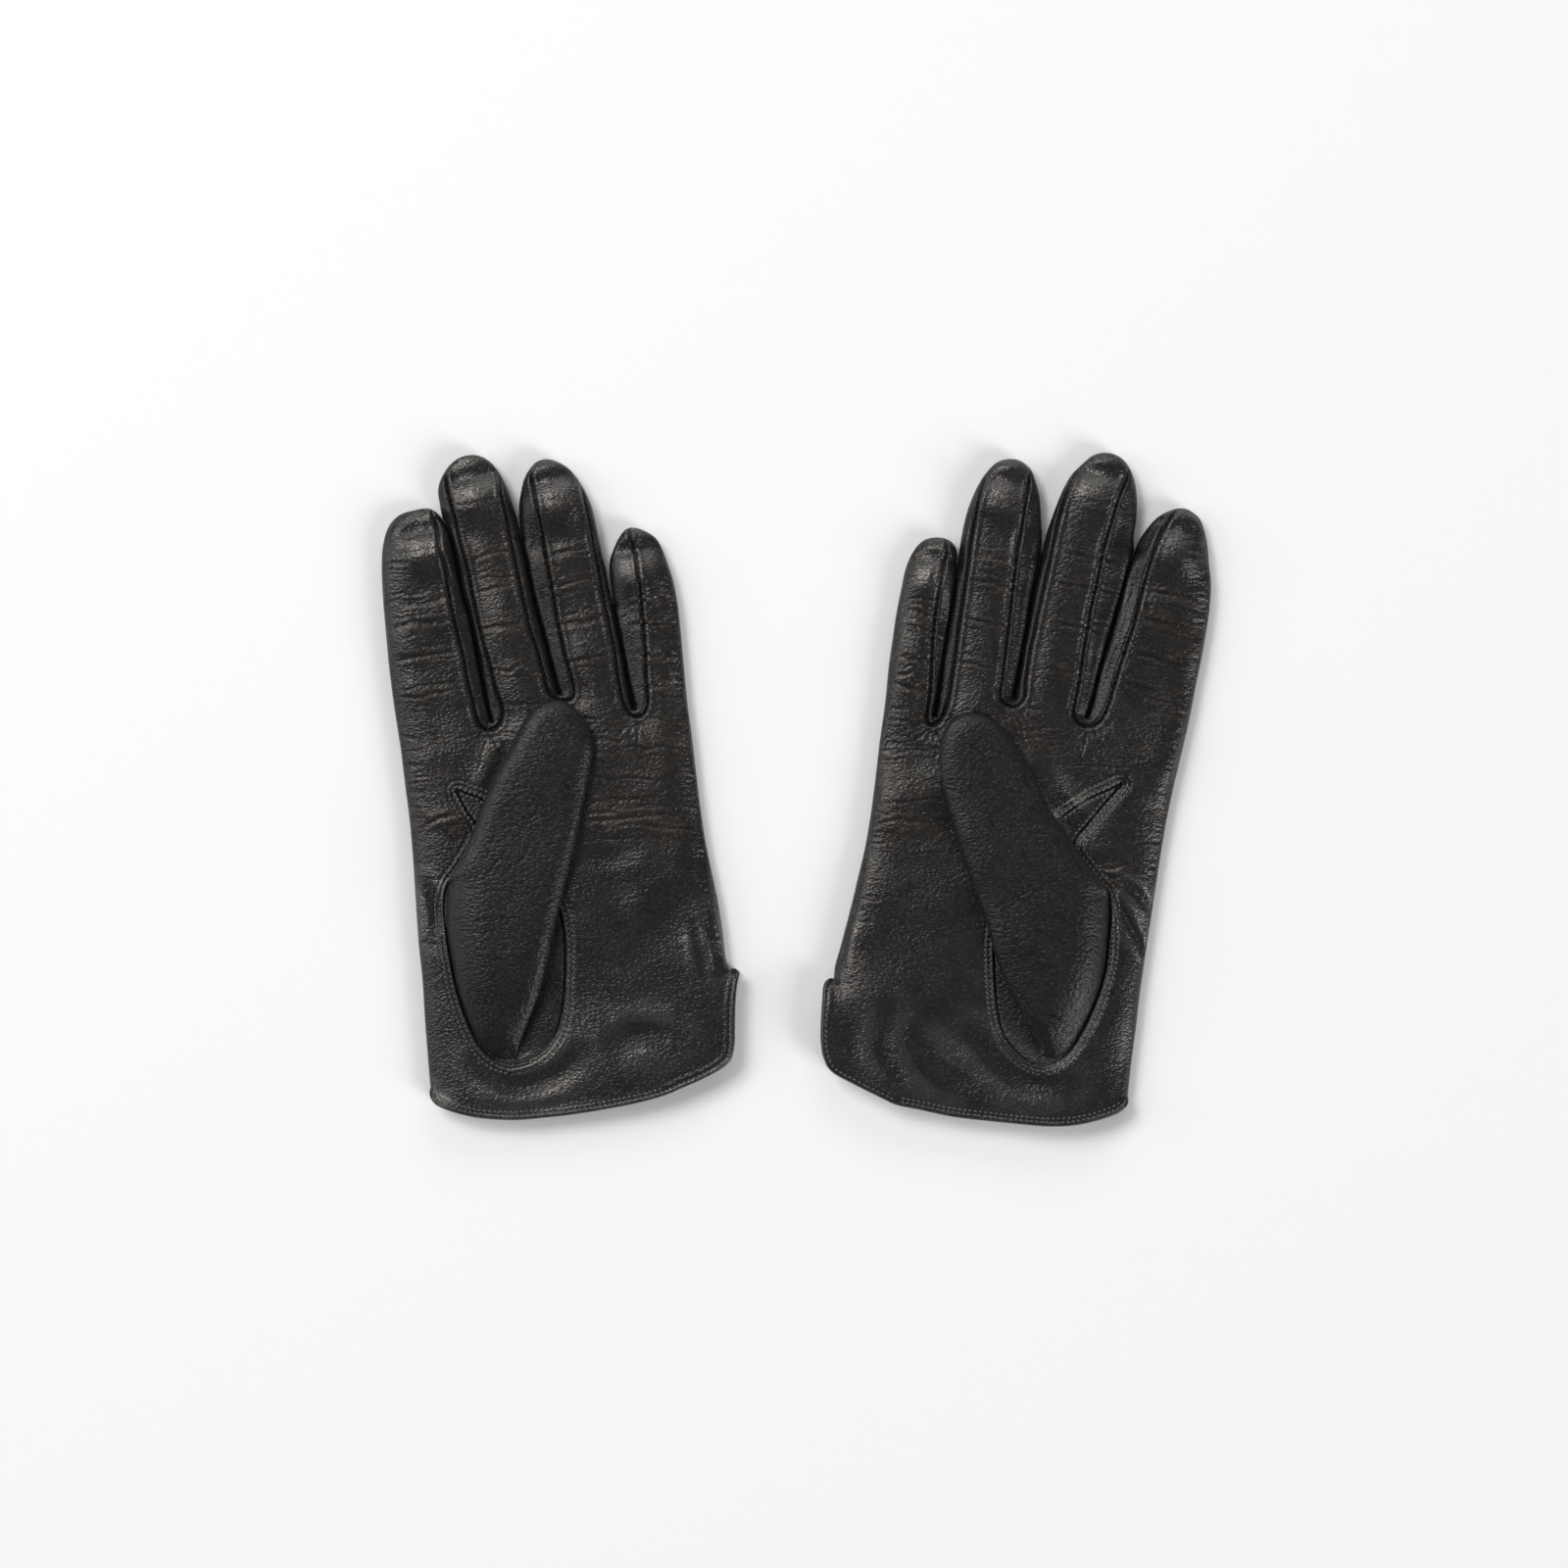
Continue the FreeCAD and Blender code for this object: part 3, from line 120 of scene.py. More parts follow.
# where the opening's upper edge runs under the thumb
LEFT_PATTERN["opening"][7:12] = [(-114.6, -38.4), (-113.6, -31.8), (-110.4, -27.2), (-107.0, -22.0), (-103.6, -15.0), (-104.4, -11.4)]
RIGHT_PATTERN["opening"][8:13] = [(102.2, -40), (101.3, -34), (98.6, -31.2), (94.6, -26.0), (90.6, -20.2), (90.4, -17.2)]
# broad folds: (points, depth, half width)
LEFT_PATTERN["folds"] = [
    ([(-29.5, -38), (-28.0, -46), (-26.0, -54), (-25.2, -60)], 0.45, 1.1),
    ([(-33, -44), (-31.5, -52), (-30, -60)], 0.25, 1.4),
    ([(-104, -90), (-92, -96.5), (-78, -93), (-70, -86)], 0.55, 2.6),
    ([(-60, -83), (-50, -80), (-40, -82)], 0.35, 3.0),
    ([(-40, -8.3), (-50, -8.8), (-62, -10.2), (-68, -10.0)], 0.30, 0.6),
    ([(-33, -12.6), (-41, -12.8), (-50, -11.6)], 0.30, 0.55),
    ([(-122, -12.5), (-116, -9.6), (-110, -8.2)], 0.28, 0.6),
    ([(-121, -30), (-118, -38), (-117.6, -50)], 0.45, 1.6),
    ([(-101, -3), (-96.5, 8), (-92, 17)], 0.30, 2.0),
]
RIGHT_PATTERN["folds"] = [
    ([(105, -36.8), (108.5, -44), (113.8, -53.4)], 0.55, 1.1),
    ([(104, -30), (110, -33), (116, -41)], 0.35, 1.4),
    ([(88, -96), (76, -96), (66, -90), (58, -80)], 0.5, 2.6),
    ([(17, -42), (15.5, -50), (14.8, -58)], 0.35, 1.2),
    ([(25, -12), (32, -10), (40, -10.4)], 0.24, 0.6),
    ([(100, -27.5), (103.5, -28.8), (107, -27.6)], 0.35, 0.6),
    ([(100.5, -25.5), (103.5, -26.2), (106, -24.8)], 0.3, 0.5),
    ([(30, -70), (28, -84), (34, -94)], 0.3, 2.2),
    ([(60, -98), (46, -92), (36, -80)], 0.3, 3.0),
    ([(93, -12), (86, -4), (80, 6)], 0.25, 2.0),
]


# ------------------------------------------------------------------ plane curves
def arc(c):
    return np.concatenate([[0], np.cumsum(np.linalg.norm(np.diff(c, axis=0), axis=1))])


def length(c):
    return arc(np.asarray(c, float))[-1]


def resample(c, n):
    c = np.asarray(c, float)
    a = arc(c)
    t = np.linspace(0, a[-1], n)
    return np.stack([np.interp(t, a, c[:, i]) for i in range(c.shape[1])], 1)


def spaced(c, step):
    return resample(c, max(3, int(round(length(c) / step)) + 1))


def soften(c, sigma):
    """Gaussian smoothing over sigma samples, with both ends held."""
    n = int(3 * sigma) + 1
    n = min(n, len(c) - 2)
    k = np.exp(-0.5 * (np.arange(-n, n + 1) / sigma) ** 2)
    k /= k.sum()
    pad = np.vstack([2 * c[0] - c[n:0:-1], c, 2 * c[-1] - c[-2 : -n - 2 : -1]])
    out = np.stack([np.convolve(pad[:, i], k, "valid") for i in range(c.shape[1])], 1)
    out[0], out[-1] = c[0], c[-1]
    return out


def smooth(pts, step=0.35, sigma=1.2):
    """A smooth curve through pattern points: Catmull-Rom, even steps, then softened over sigma millimetres."""
    p = np.asarray(pts, float)
    keep = [0]
    for i in range(1, len(p)):
        if np.linalg.norm(p[i] - p[keep[-1]]) > 0.3:
            keep.append(i)
    p = p[keep]
    q = np.vstack([2 * p[0] - p[1], p, 2 * p[-1] - p[-2]])
    out = []
    for i in range(1, len(q) - 2):
        a, b, c, d = q[i - 1 : i + 3]
        ta = 0.0
        tb = ta + np.linalg.norm(b - a) ** 0.5
        tc = tb + np.linalg.norm(c - b) ** 0.5
        td = tc + np.linalg.norm(d - c) ** 0.5
        n = max(2, int(np.linalg.norm(c - b) / (step * 0.5)))
        t = np.linspace(tb, tc, n, endpoint=False)[:, None]
        a1 = (tb - t) / (tb - ta) * a + (t - ta) / (tb - ta) * b
        a2 = (tc - t) / (tc - tb) * b + (t - tb) / (tc - tb) * c
        a3 = (td - t) / (td - tc) * c + (t - tc) / (td - tc) * d
        b1 = (tc - t) / (tc - ta) * a1 + (t - ta) / (tc - ta) * a2
        b2 = (td - t) / (td - tb) * a2 + (t - tb) / (td - tb) * a3
        out.append((tc - t) / (tc - tb) * b1 + (t - tb) / (tc - tb) * b2)
    out.append(p[-1:])
    c = spaced(np.vstack(out), step)
    return soften(c, sigma / step) if sigma else c


def rights(c):
    """Unit normals at the right of the direction of travel."""
    d = np.gradient(c, axis=0)
    d /= np.linalg.norm(d, axis=1)[:, None] + 1e-12
    return np.stack([d[:, 1], -d[:, 0]], 1)


def inside(p, poly):
    """Even-odd test of points against a closed polygon."""
    order = np.argsort(p[:, 1], kind="stable")
    x, y = p[order, 0], p[order, 1]
    hit = np.zeros(len(p), bool)
    b = np.roll(poly, -1, axis=0)
    lo, hi = np.minimum(poly[:, 1], b[:, 1]), np.maximum(poly[:, 1], b[:, 1])
    i0, i1 = np.searchsorted(y, lo, "right"), np.searchsorted(y, hi, "right")
    for k in np.nonzero(i1 > i0)[0]:
        (x0, y0), (x1, y1) = poly[k], b[k]
        if y0 == y1:
            continue
        m = slice(i0[k], i1[k])
        hit[m] ^= x[m] < x0 + (y[m] - y0) * ((x1 - x0) / (y1 - y0))
    out = np.zeros(len(p), bool)
    out[order] = hit
    return out


def step01(x, a, b):
    t = np.clip((x - a) / (b - a), 0, 1)
    return t * t * (3 - 2 * t)


def bulge(s, e=2.2):
    """From 0 at an edge, where it is steep, to 1 at s = 1, where it is level."""
    s = np.clip(s, 0, 1)
    return (1 - (1 - s) ** e) ** (1 / e)


class Line:
    """A curve that can be asked for distances. Several stretches can be in one."""

    def __init__(self, *stretches, step=0.15, pitch=0.8, margin=14.0):
        pts, arcs, ends = [], [], []
        for c in stretches:
            c = spaced(c, step)
            e = np.zeros(len(c), bool)
            e[-1] = True
            pts.append(c)
            arcs.append(arc(c))
            ends.append(e)
        self.pts = np.vstack(pts)
        self.arcs = np.concatenate(arcs)
        self.ends = np.concatenate(ends)
        # the nearest sample of every cell of a plane grid, spread from the curve outwards
        self.o = self.pts.min(0) - margin
        self.pitch = pitch
        w, h = ((self.pts.max(0) + margin - self.o) / pitch).astype(int) + 2
        g = np.full((h, w), -1, np.int64)
        c = ((self.pts - self.o) / pitch + 0.5).astype(int)
        g[c[:, 1], c[:, 0]] = np.arange(len(self.pts))
        gx, gy = self.o[0] + np.arange(w) * pitch, self.o[1] + np.arange(h)[:, None] * pitch
        px, py = self.pts[:, 0], self.pts[:, 1]
        best = np.where(g >= 0, (px[g] - gx) ** 2 + (py[g] - gy) ** 2, 1e18)
        hop = 1
        while hop < max(w, h) / 2:
            hop *= 2
        hops = []
        while hop >= 1:
            hops.append(hop)
            hop //= 2
        for n in hops + [2, 1]:
            for dy in (-n, 0, n):
                for dx in (-n, 0, n):
                    if not (dx or dy):
                        continue
                    a = (slice(max(0, dy), min(h, h + dy)), slice(max(0, dx), min(w, w + dx)))
                    b = (slice(max(0, -dy), min(h, h - dy)), slice(max(0, -dx), min(w, w - dx)))
                    if a[0].stop <= a[0].start or a[1].stop <= a[1].start:
                        continue
                    s = g[b]
                    d = np.where(s >= 0, (px[s] - gx[a[1]][None, :]) ** 2 + (py[s] - gy[a[0]]) ** 2, 1e18)
                    m = d < best[a]
                    best[a] = np.where(m, d, best[a])
                    g[a] = np.where(m, s, g[a])
        self.grid = g

    def near(self, p):
        h, w = self.grid.shape
        i = np.clip(((p[:, 0] - self.o[0]) / self.pitch + 0.5).astype(int), 0, w - 1)
        j = np.clip(((p[:, 1] - self.o[1]) / self.pitch + 0.5).astype(int), 0, h - 1)
        first = self.grid[j, i]
        n = len(self.pts)
        idx = first.copy()
        best = ((p - self.pts[idx]) ** 2).sum(1)
        for k in range(-8, 9):
            q = np.clip(first + k, 0, n - 1)
            d = ((p - self.pts[q]) ** 2).sum(1)
            m = d < best
            best[m] = d[m]
            idx[m] = q[m]
        best = np.sqrt(best)
        for k in (idx - 1, idx):
            ok = (k >= 0) & (k < n - 1)
            kk = np.clip(k, 0, n - 2)
            ok &= ~self.ends[kk]
            a, b = self.pts[kk], self.pts[kk + 1]
            d = b - a
            f = np.clip(((p - a) * d).sum(1) / np.maximum((d * d).sum(1), 1e-12), 0, 1)
            dist = np.linalg.norm(p - a - f[:, None] * d, axis=1)
            best = np.where(ok, np.minimum(best, dist), best)
        return best, idx

    def away(self, p):
        return self.near(p)[0]


# ------------------------------------------------------------------ noise and creases, on a plane grid
class Field:
    def __init__(self, box, pitch=0.2):
        self.x0, self.y0, x1, y1 = box
        self.pitch = pitch
        self.v = np.zeros((int((y1 - self.y0) / pitch) + 2, int((x1 - self.x0) / pitch) + 2))

    def sample(self, p):
        h, w = self.v.shape
        fx = np.clip((p[:, 0] - self.x0) / self.pitch, 0, w - 1.001)
        fy = np.clip((p[:, 1] - self.y0) / self.pitch, 0, h - 1.001)
        i, j = fx.astype(int), fy.astype(int)
        u, v = fx - i, fy - j
        a = self.v
        return (
            a[j, i] * (1 - u) * (1 - v)
            + a[j, i + 1] * u * (1 - v)
            + a[j + 1, i] * (1 - u) * v
            + a[j + 1, i + 1] * u * v
        )

    def stroke(self, pts, depth, sigma, ridge=0.45):
        """A crease: a narrow valley with a soft ridge on both sides, fading at both ends."""
        pts = np.asarray(pts, float)
        a = arc(pts)
        n = max(2, int(a[-1] / 0.5) + 1)
        t = np.linspace(0, 1, n)
        c = np.stack([np.interp(t * a[-1], a, pts[:, k]) for k in (0, 1)], 1)
        fade = np.sin(np.pi * np.clip(t, 0.02, 0.98)) ** 0.6
        reach = 4.5 * sigma
        lo = c.min(0) - reach
        hi = c.max(0) + reach
        i0, j0 = ((lo - (self.x0, self.y0)) / self.pitch).astype(int)
        i1, j1 = ((hi - (self.x0, self.y0)) / self.pitch).astype(int) + 2
        i0, j0 = max(i0, 0), max(j0, 0)
        i1, j1 = min(i1, self.v.shape[1]), min(j1, self.v.shape[0])
        if i1 <= i0 or j1 <= j0:
            return
        gx, gy = np.meshgrid(self.x0 + np.arange(i0, i1) * self.pitch, self.y0 + np.arange(j0, j1) * self.pitch)
        best = np.full(gx.shape, 1e9)
        f = np.zeros(gx.shape)
        for k in range(len(c) - 1):
            d = c[k + 1] - c[k]
            s = np.clip(((gx - c[k, 0]) * d[0] + (gy - c[k, 1]) * d[1]) / max(d @ d, 1e-9), 0, 1)
            dist = (gx - c[k, 0] - s * d[0]) ** 2 + (gy - c[k, 1] - s * d[1]) ** 2
            m = dist < best
            best[m] = dist[m]
            f[m] = (fade[k] + (fade[k + 1] - fade[k]) * s)[m]
        q = best / sigma**2
        z = -np.exp(-0.5 * q) + ridge * np.exp(-0.5 * (np.sqrt(q) - 2.2) ** 2)
        self.v[j0:j1, i0:i1] += depth * f * z


def value_noise(box, cell, rng, pitch=0.5, stretch=(1.0, 1.0)):
    """Smooth random heights of about unit size, cell millimetres apart."""
    f = Field(box, pitch)
    h, w = f.v.shape
    nx = int(w * pitch / (cell * stretch[0])) + 4
    ny = int(h * pitch / (cell * stretch[1])) + 4
    g = rng.standard_normal((ny, nx))
    x = np.arange(w) * pitch / (cell * stretch[0])
    y = np.arange(h) * pitch / (cell * stretch[1])

    def weights(t):
        i = t.astype(int)
        u = t - i
        return i, [
            ((1 - u) ** 3) / 6,
            (3 * u**3 - 6 * u**2 + 4) / 6,
            (-3 * u**3 + 3 * u**2 + 3 * u + 1) / 6,
            u**3 / 6,
        ]

    i, wx = weights(x)
    rows = sum(g[:, i + k] * wx[k] for k in range(4))
    j, wy = weights(y)
    f.v = sum(rows[j + k] * wy[k][:, None] for k in range(4)) * 1.8
    return f


# ------------------------------------------------------------------ triangulated surfaces
def lattice(poly, h):
    lo, hi = poly.min(0), poly.max(0)
    ny = int((hi[1] - lo[1]) / (h * 0.866)) + 1
    nx = int((hi[0] - lo[0]) / h) + 1
    gy, gx = np.mgrid[0:ny, 0:nx]
    x = lo[0] + (gx + 0.5 * (gy % 2)) * h + 0.0137
    y = lo[1] + gy * h * 0.866 + 0.0171
    return np.stack([x.ravel(), y.ravel()], 1)


def surface(poly, lines, loose, h, rows=(), guard=0.45):
    """Triangles that fill poly. lines are curves whose points become edges; rows are (curve, [distances]) that
    add points beside a curve on both sides. Returns (points, triangles)."""
    edge_pts, edges = [], []
    n = 0
    for c, closed in lines:
        k = len(c)
        edge_pts.append(c)
        edges += [(n + i, n + i + 1) for i in range(k - 1)]
        if closed:
            edges.append((n + k - 1, n))
        n += k
    fixed = np.vstack(edge_pts)
    keep_from = Line(*[c if not closed else np.vstack([c, c[:1]]) for c, closed in lines], step=0.12)
    extra = []
    for c, distances in rows:
        nrm = rights(c)
        for d in distances:
            q = c + nrm * d
            extra.append((q, abs(d)))
    pts = [fixed]
    taken = []
    for q, d in extra:
        q = q[inside(q, poly)]
        if len(q):
            q = q[keep_from.away(q) > d * 0.86]
            pts.append(q)
            taken.append(q)
    g = lattice(poly, h)
    g = g[inside(g, poly)]
    g = g[keep_from.away(g) > guard * h]
    if taken:
        t = np.vstack(taken)
        cell = guard * h
        key = lambda q: set(map(tuple, np.floor(q / cell).astype(int)))
        used = key(t)
        k = np.floor(g / cell).astype(int)
        free = np.fromiter(((a, b) not in used for a, b in k), bool, len(k))
        g = g[free]
    pts.append(g)
    allp = np.vstack(pts)
    out = delaunay_2d_cdt([Vector((x, y)) for x, y in allp], edges, [], 0, 1e-5, False)
    co = np.array([(v.x, v.y) for v in out[0]])
    tri = np.array(out[2])
    cen = co[tri].mean(1)
    tri = tri[inside(cen, poly)]
    # every triangle faces up
    a, b, c = co[tri[:, 0]], co[tri[:, 1]], co[tri[:, 2]]
    cross = (b[:, 0] - a[:, 0]) * (c[:, 1] - a[:, 1]) - (b[:, 1] - a[:, 1]) * (c[:, 0] - a[:, 0])
    tri = tri[np.abs(cross) > 1e-9]
    cross = cross[np.abs(cross) > 1e-9]
    tri[cross < 0] = tri[cross < 0][:, ::-1]
    return co, tri


class Skin:
    """Triangles of several named pieces that share their points, so that the normals run on from piece to piece."""

    def __init__(self):
        self.co, self.tri, self.tag, self.shade = [], [], [], []
        self.n = 0

    def add(self, co, tri, tags, tone=None):
        self.co.append(co)
        self.shade.append(np.zeros((len(co), 3)) if tone is None else tone)
        self.tri.append(tri + self.n)
        self.tag.append(np.asarray(tags))
        self.n += len(co)

    def finish(self, merge=0.004):
        co, tri, tag = np.vstack(self.co), np.vstack(self.tri), np.concatenate(self.tag)
        key = np.round(co / merge).astype(np.int64)
        _, first, inv = np.unique(key, axis=0, return_index=True, return_inverse=True)
        inv = inv.reshape(-1)
        self.points = co[first]
        self.tone = np.vstack(self.shade)[first]
        tri = inv[tri]
        ok = (tri[:, 0] != tri[:, 1]) & (tri[:, 1] != tri[:, 2]) & (tri[:, 0] != tri[:, 2])
        self.faces, self.tags = tri[ok], tag[ok]
        self.renormal()

    def renormal(self):
        p, t = self.points, self.faces
        n = np.cross(p[t[:, 1]] - p[t[:, 0]], p[t[:, 2]] - p[t[:, 0]])
        out = np.zeros_like(p)
        for k in range(3):
            for a in range(3):
                out[:, a] += np.bincount(t[:, k], n[:, a], len(p))
        self.normals = out / (np.linalg.norm(out, axis=1)[:, None] + 1e-12)

    def soften(self, rounds, amount, mask):
        e = np.vstack([self.faces[:, [0, 1]], self.faces[:, [1, 2]], self.faces[:, [2, 0]]])
        n = len(self.points)
        deg = np.bincount(e[:, 0], minlength=n) + np.bincount(e[:, 1], minlength=n)
        for _ in range(rounds):
            z = self.points
            s = np.stack([
                np.bincount(e[:, 0], z[e[:, 1], k], n) + np.bincount(e[:, 1], z[e[:, 0], k], n) for k in range(3)
            ], 1)
            d = s / np.maximum(deg, 1)[:, None] - z
            self.points = z + d * amount * mask[:, None]
        self.renormal()


def make_object(name, points, faces, normals, materials, slots=None, tone=None):
    """A mesh object from millimetre points, with the given normals. The first column of the attribute array is painted
    shading:
    below 0 as painted shade in seams and creases, above 0 on the ridges beside creases, which are painted paler,
    partly as wear of the dye and partly as painted highlight; the second is how many fine crease lines there are; the
    third is polish."""
    used, inv = np.unique(faces, return_inverse=True)
    inv = inv.reshape(faces.shape)
    m = bpy.data.meshes.new(name)
    m.vertices.add(len(used))
    m.vertices.foreach_set("co", (points[used] * MM).astype(np.float32).ravel())
    k = faces.shape[1]
    m.loops.add(len(faces) * k)
    m.loops.foreach_set("vertex_index", inv.ravel().astype(np.int32))
    m.polygons.add(len(faces))
    m.polygons.foreach_set("loop_start", np.arange(0, len(faces) * k, k, dtype=np.int32))
    m.polygons.foreach_set("loop_total", np.full(len(faces), k, dtype=np.int32))
    m.polygons.foreach_set("use_smooth", np.ones(len(faces), bool))
    if slots is not None:
        m.polygons.foreach_set("material_index", slots.astype(np.int32))
    for mat in materials:
        m.materials.append(mat)
    m.update(calc_edges=True)
    m.validate(clean_customdata=False)
    if tone is not None:
        for k, key in enumerate(("tone", "lines", "shine")):
            layer = m.attributes.new(key, "FLOAT", "POINT")
            layer.data.foreach_set("value", np.ascontiguousarray(tone[used, k], np.float32))
    if normals is not None:
        m.normals_split_custom_set_from_vertices([tuple(v) for v in normals[used]])
    o = bpy.data.objects.new(name, m)
    bpy.context.scene.collection.objects.link(o)
    return o


# ------------------------------------------------------------------ materials
def leather(name, base, brown, rough, grain, grain_size, spec, lines=1.0):
    """Dyed nappa: near-black with a faint warm variation, a satin surface, a pebbled grain a little longer
    across the hand than along it, and fine wandering crease lines where the attribute "lines" asks for them."""
    mat = bpy.data.materials.new(name)
    mat.use_nodes = True
    t = mat.node_tree
    nodes, link = t.nodes, t.links
    bsdf = nodes["Principled BSDF"]
    coord = nodes.new("ShaderNodeTexCoord")

    def noise(scale, detail=3.0, rough_=0.55, source=None):
        n = nodes.new("ShaderNodeTexNoise")
        n.inputs["Scale"].default_value = scale
        n.inputs["Detail"].default_value = detail
        n.inputs["Roughness"].default_value = rough_
        link.new(source or coord.outputs["Object"], n.inputs["Vector"])
        return n

    def vector(op, a, b, c=None):
        v = nodes.new("ShaderNodeVectorMath")
        v.operation = op
        for k, q in enumerate((a, b, c)):
            if q is None:
                continue
            if isinstance(q, tuple):
                v.inputs[k].default_value = q
            else:
                link.new(q, v.inputs[k])
        return v.outputs["Vector"]

    def mapped(socket, a, b, c, d, smooth_=False):
        r = nodes.new("ShaderNodeMapRange")
        if smooth_:
            r.interpolation_type = "SMOOTHSTEP"
        r.inputs["From Min"].default_value = a
        r.inputs["From Max"].default_value = b
        r.inputs["To Min"].default_value = c
        r.inputs["To Max"].default_value = d
        link.new(socket, r.inputs["Value"])
        return r.outputs["Result"]

    def maths(op, a, b):
        r = nodes.new("ShaderNodeMath")
        r.operation = op
        for k, q in enumerate((a, b)):
            if isinstance(q, (int, float)):
                r.inputs[k].default_value = q
            else:
                link.new(q, r.inputs[k])
        return r.outputs["Value"]

    def bump(height, distance, strength=1.0, under=None, invert=False):
        b = nodes.new("ShaderNodeBump")
        b.invert = invert
        b.inputs["Strength"].default_value = strength
        b.inputs["Distance"].default_value = distance
        link.new(height, b.inputs["Height"])
        if under is not None:
            link.new(under, b.inputs["Normal"])
        return b.outputs["Normal"]

    def attribute(key):
        a = nodes.new("ShaderNodeAttribute")
        a.attribute_name = key
        return a.outputs["Fac"]

    place = coord.outputs["Object"]
    broad = noise(45.0)
    cloud = noise(160.0, 4.0)
    mix = nodes.new("ShaderNodeMix")
    mix.data_type = "RGBA"
    mix.inputs["A"].default_value = (*base, 1)
    mix.inputs["B"].default_value = (*brown, 1)
    link.new(mapped(broad.outputs["Fac"], 0.35, 0.72, 0.0, 1.0), mix.inputs["Factor"])

    # the grain's pebbles
    wob = noise(700.0, 2.0)
    warped = vector("MULTIPLY_ADD", wob.outputs["Color"], (0.0008, 0.0006, 0.0006), place)
    k = 1000.0 / grain_size
    cells = nodes.new("ShaderNodeTexVoronoi")
    cells.feature = "SMOOTH_F1"
    cells.inputs["Scale"].default_value = 1.0
    cells.inputs["Smoothness"].default_value = 0.3
    cells.inputs["Randomness"].default_value = 1.0
    link.new(vector("MULTIPLY", warped, (k * 0.6, k, k)), cells.inputs["Vector"])
    pebble = cells.outputs["Distance"]

    # wandering crease lines, mostly across the fingers and the hand
    sway = noise(260.0, 3.0, 0.6)

    def strands(long, short, shift, amount):
        w = vector("MULTIPLY_ADD", sway.outputs["Color"], (0.004, amount, 0.0), vector("ADD", place, shift))
        v = nodes.new("ShaderNodeTexVoronoi")
        v.feature = "DISTANCE_TO_EDGE"
        v.inputs["Scale"].default_value = 1.0
        v.inputs["Randomness"].default_value = 1.0
        link.new(vector("MULTIPLY", w, (1000.0 / long, 1000.0 / short, 1000.0 / 9.0)), v.inputs["Vector"])
        return v.outputs["Distance"]

    where = attribute("lines")
    patch = mapped(noise(105.0, 2.0).outputs["Fac"], 0.44, 0.60, 0.0, 1.0, True)
    patch2 = mapped(noise(150.0, 2.0, source=vector("ADD", place, (0.31, 0.17, 0.0))).outputs["Fac"], 0.46, 0.62, 0.0, 1.0, True)
    one = strands(9.0, 2.6, (0.0, 0.0, 0.0), 0.0030)
    two = strands(4.2, 1.25, (0.07, 0.03, 0.0), 0.0016)
    m1 = maths("MULTIPLY", where, patch)
    m2 = maths("MULTIPLY", where, patch2)
    deep = maths("MULTIPLY", mapped(one, 0.0, 0.085, 1.0, 0.0, True), m1)
    fine_lines = maths("MULTIPLY", mapped(two, 0.0, 0.10, 0.55, 0.0, True), m2)
    groove = maths("ADD", deep, fine_lines)
    # the pale lines along the fine creases are partly wear of the dye and partly painted highlight where the crease
    # ridges catch the light
    pale1 = maths("MULTIPLY", mapped(one, 0.03, 0.17, 1.0, 0.0, True), m1)
    pale2 = maths("MULTIPLY", mapped(two, 0.03, 0.17, 0.55, 0.0, True), m2)
    pale = maths("MULTIPLY", maths("ADD", pale1, pale2), lines)

    # painted shade darkens the seams, the bottoms of creases and the slits between the fingers, and lowers their
    # specular; the ridges beside creases are painted paler and warmer, partly as wear of the dye and partly as painted
    # highlight
    tone = attribute("tone")
    bright = nodes.new("ShaderNodeMix")
    bright.data_type = "RGBA"
    bright.blend_type = "MULTIPLY"
    bright.inputs["Factor"].default_value = 1.0
    link.new(mix.outputs["Result"], bright.inputs["A"])
    shade = nodes.new("ShaderNodeCombineColor")
    value = mapped(pebble, 0.05, 0.7, 1.5, 0.55)
    painted_shade = mapped(tone, -1.0, 0.0, 0.10, 1.0)
    for key, gain in (("Red", 2.6), ("Green", 2.1), ("Blue", 1.7)):
        wear_and_highlight = maths("ADD", mapped(tone, 0.0, 1.0, 1.0, 1.0 + gain * 0.6), maths("MULTIPLY", pale, gain))
        link.new(maths("MULTIPLY", value, maths("MULTIPLY", painted_shade, wear_and_highlight)), shade.inputs[key])
    # handled and stretched leather, as on the pads of the fingers, is shinier
    polish = maths("MULTIPLY", attribute("shine"), 0.55)
    # painted shade also takes the specular down in the seams and crease bottoms; polish raises it
    link.new(maths("ADD", mapped(tone, -1.0, -0.1, 0.05, spec), polish), bsdf.inputs["Specular IOR Level"])
    link.new(shade.outputs["Color"], bright.inputs["B"])
    link.new(bright.outputs["Result"], bsdf.inputs["Base Color"])
    link.new(mapped(cloud.outputs["Fac"], 0.3, 0.7, rough - 0.05, rough + 0.06), bsdf.inputs["Roughness"])
    bsdf.inputs["Specular Tint"].default_value = (1.0, 0.955, 0.915, 1)
    bsdf.inputs["Sheen Weight"].default_value = 0.02
    bsdf.inputs["Sheen Roughness"].default_value = 0.5

    n = bump(pebble, 0.00013 * grain, 1.0, None, True)
    n = bump(noise(4200.0, 2.0).outputs["Fac"], 0.00003, grain, n)
    n = bump(noise(620.0, 3.0, 0.6).outputs["Fac"], 0.00021, 0.8, n)
    n = bump(groove, 0.00016 * max(lines, 0.01), 1.0, n, True)
    link.new(n, bsdf.inputs["Normal"])
    return mat


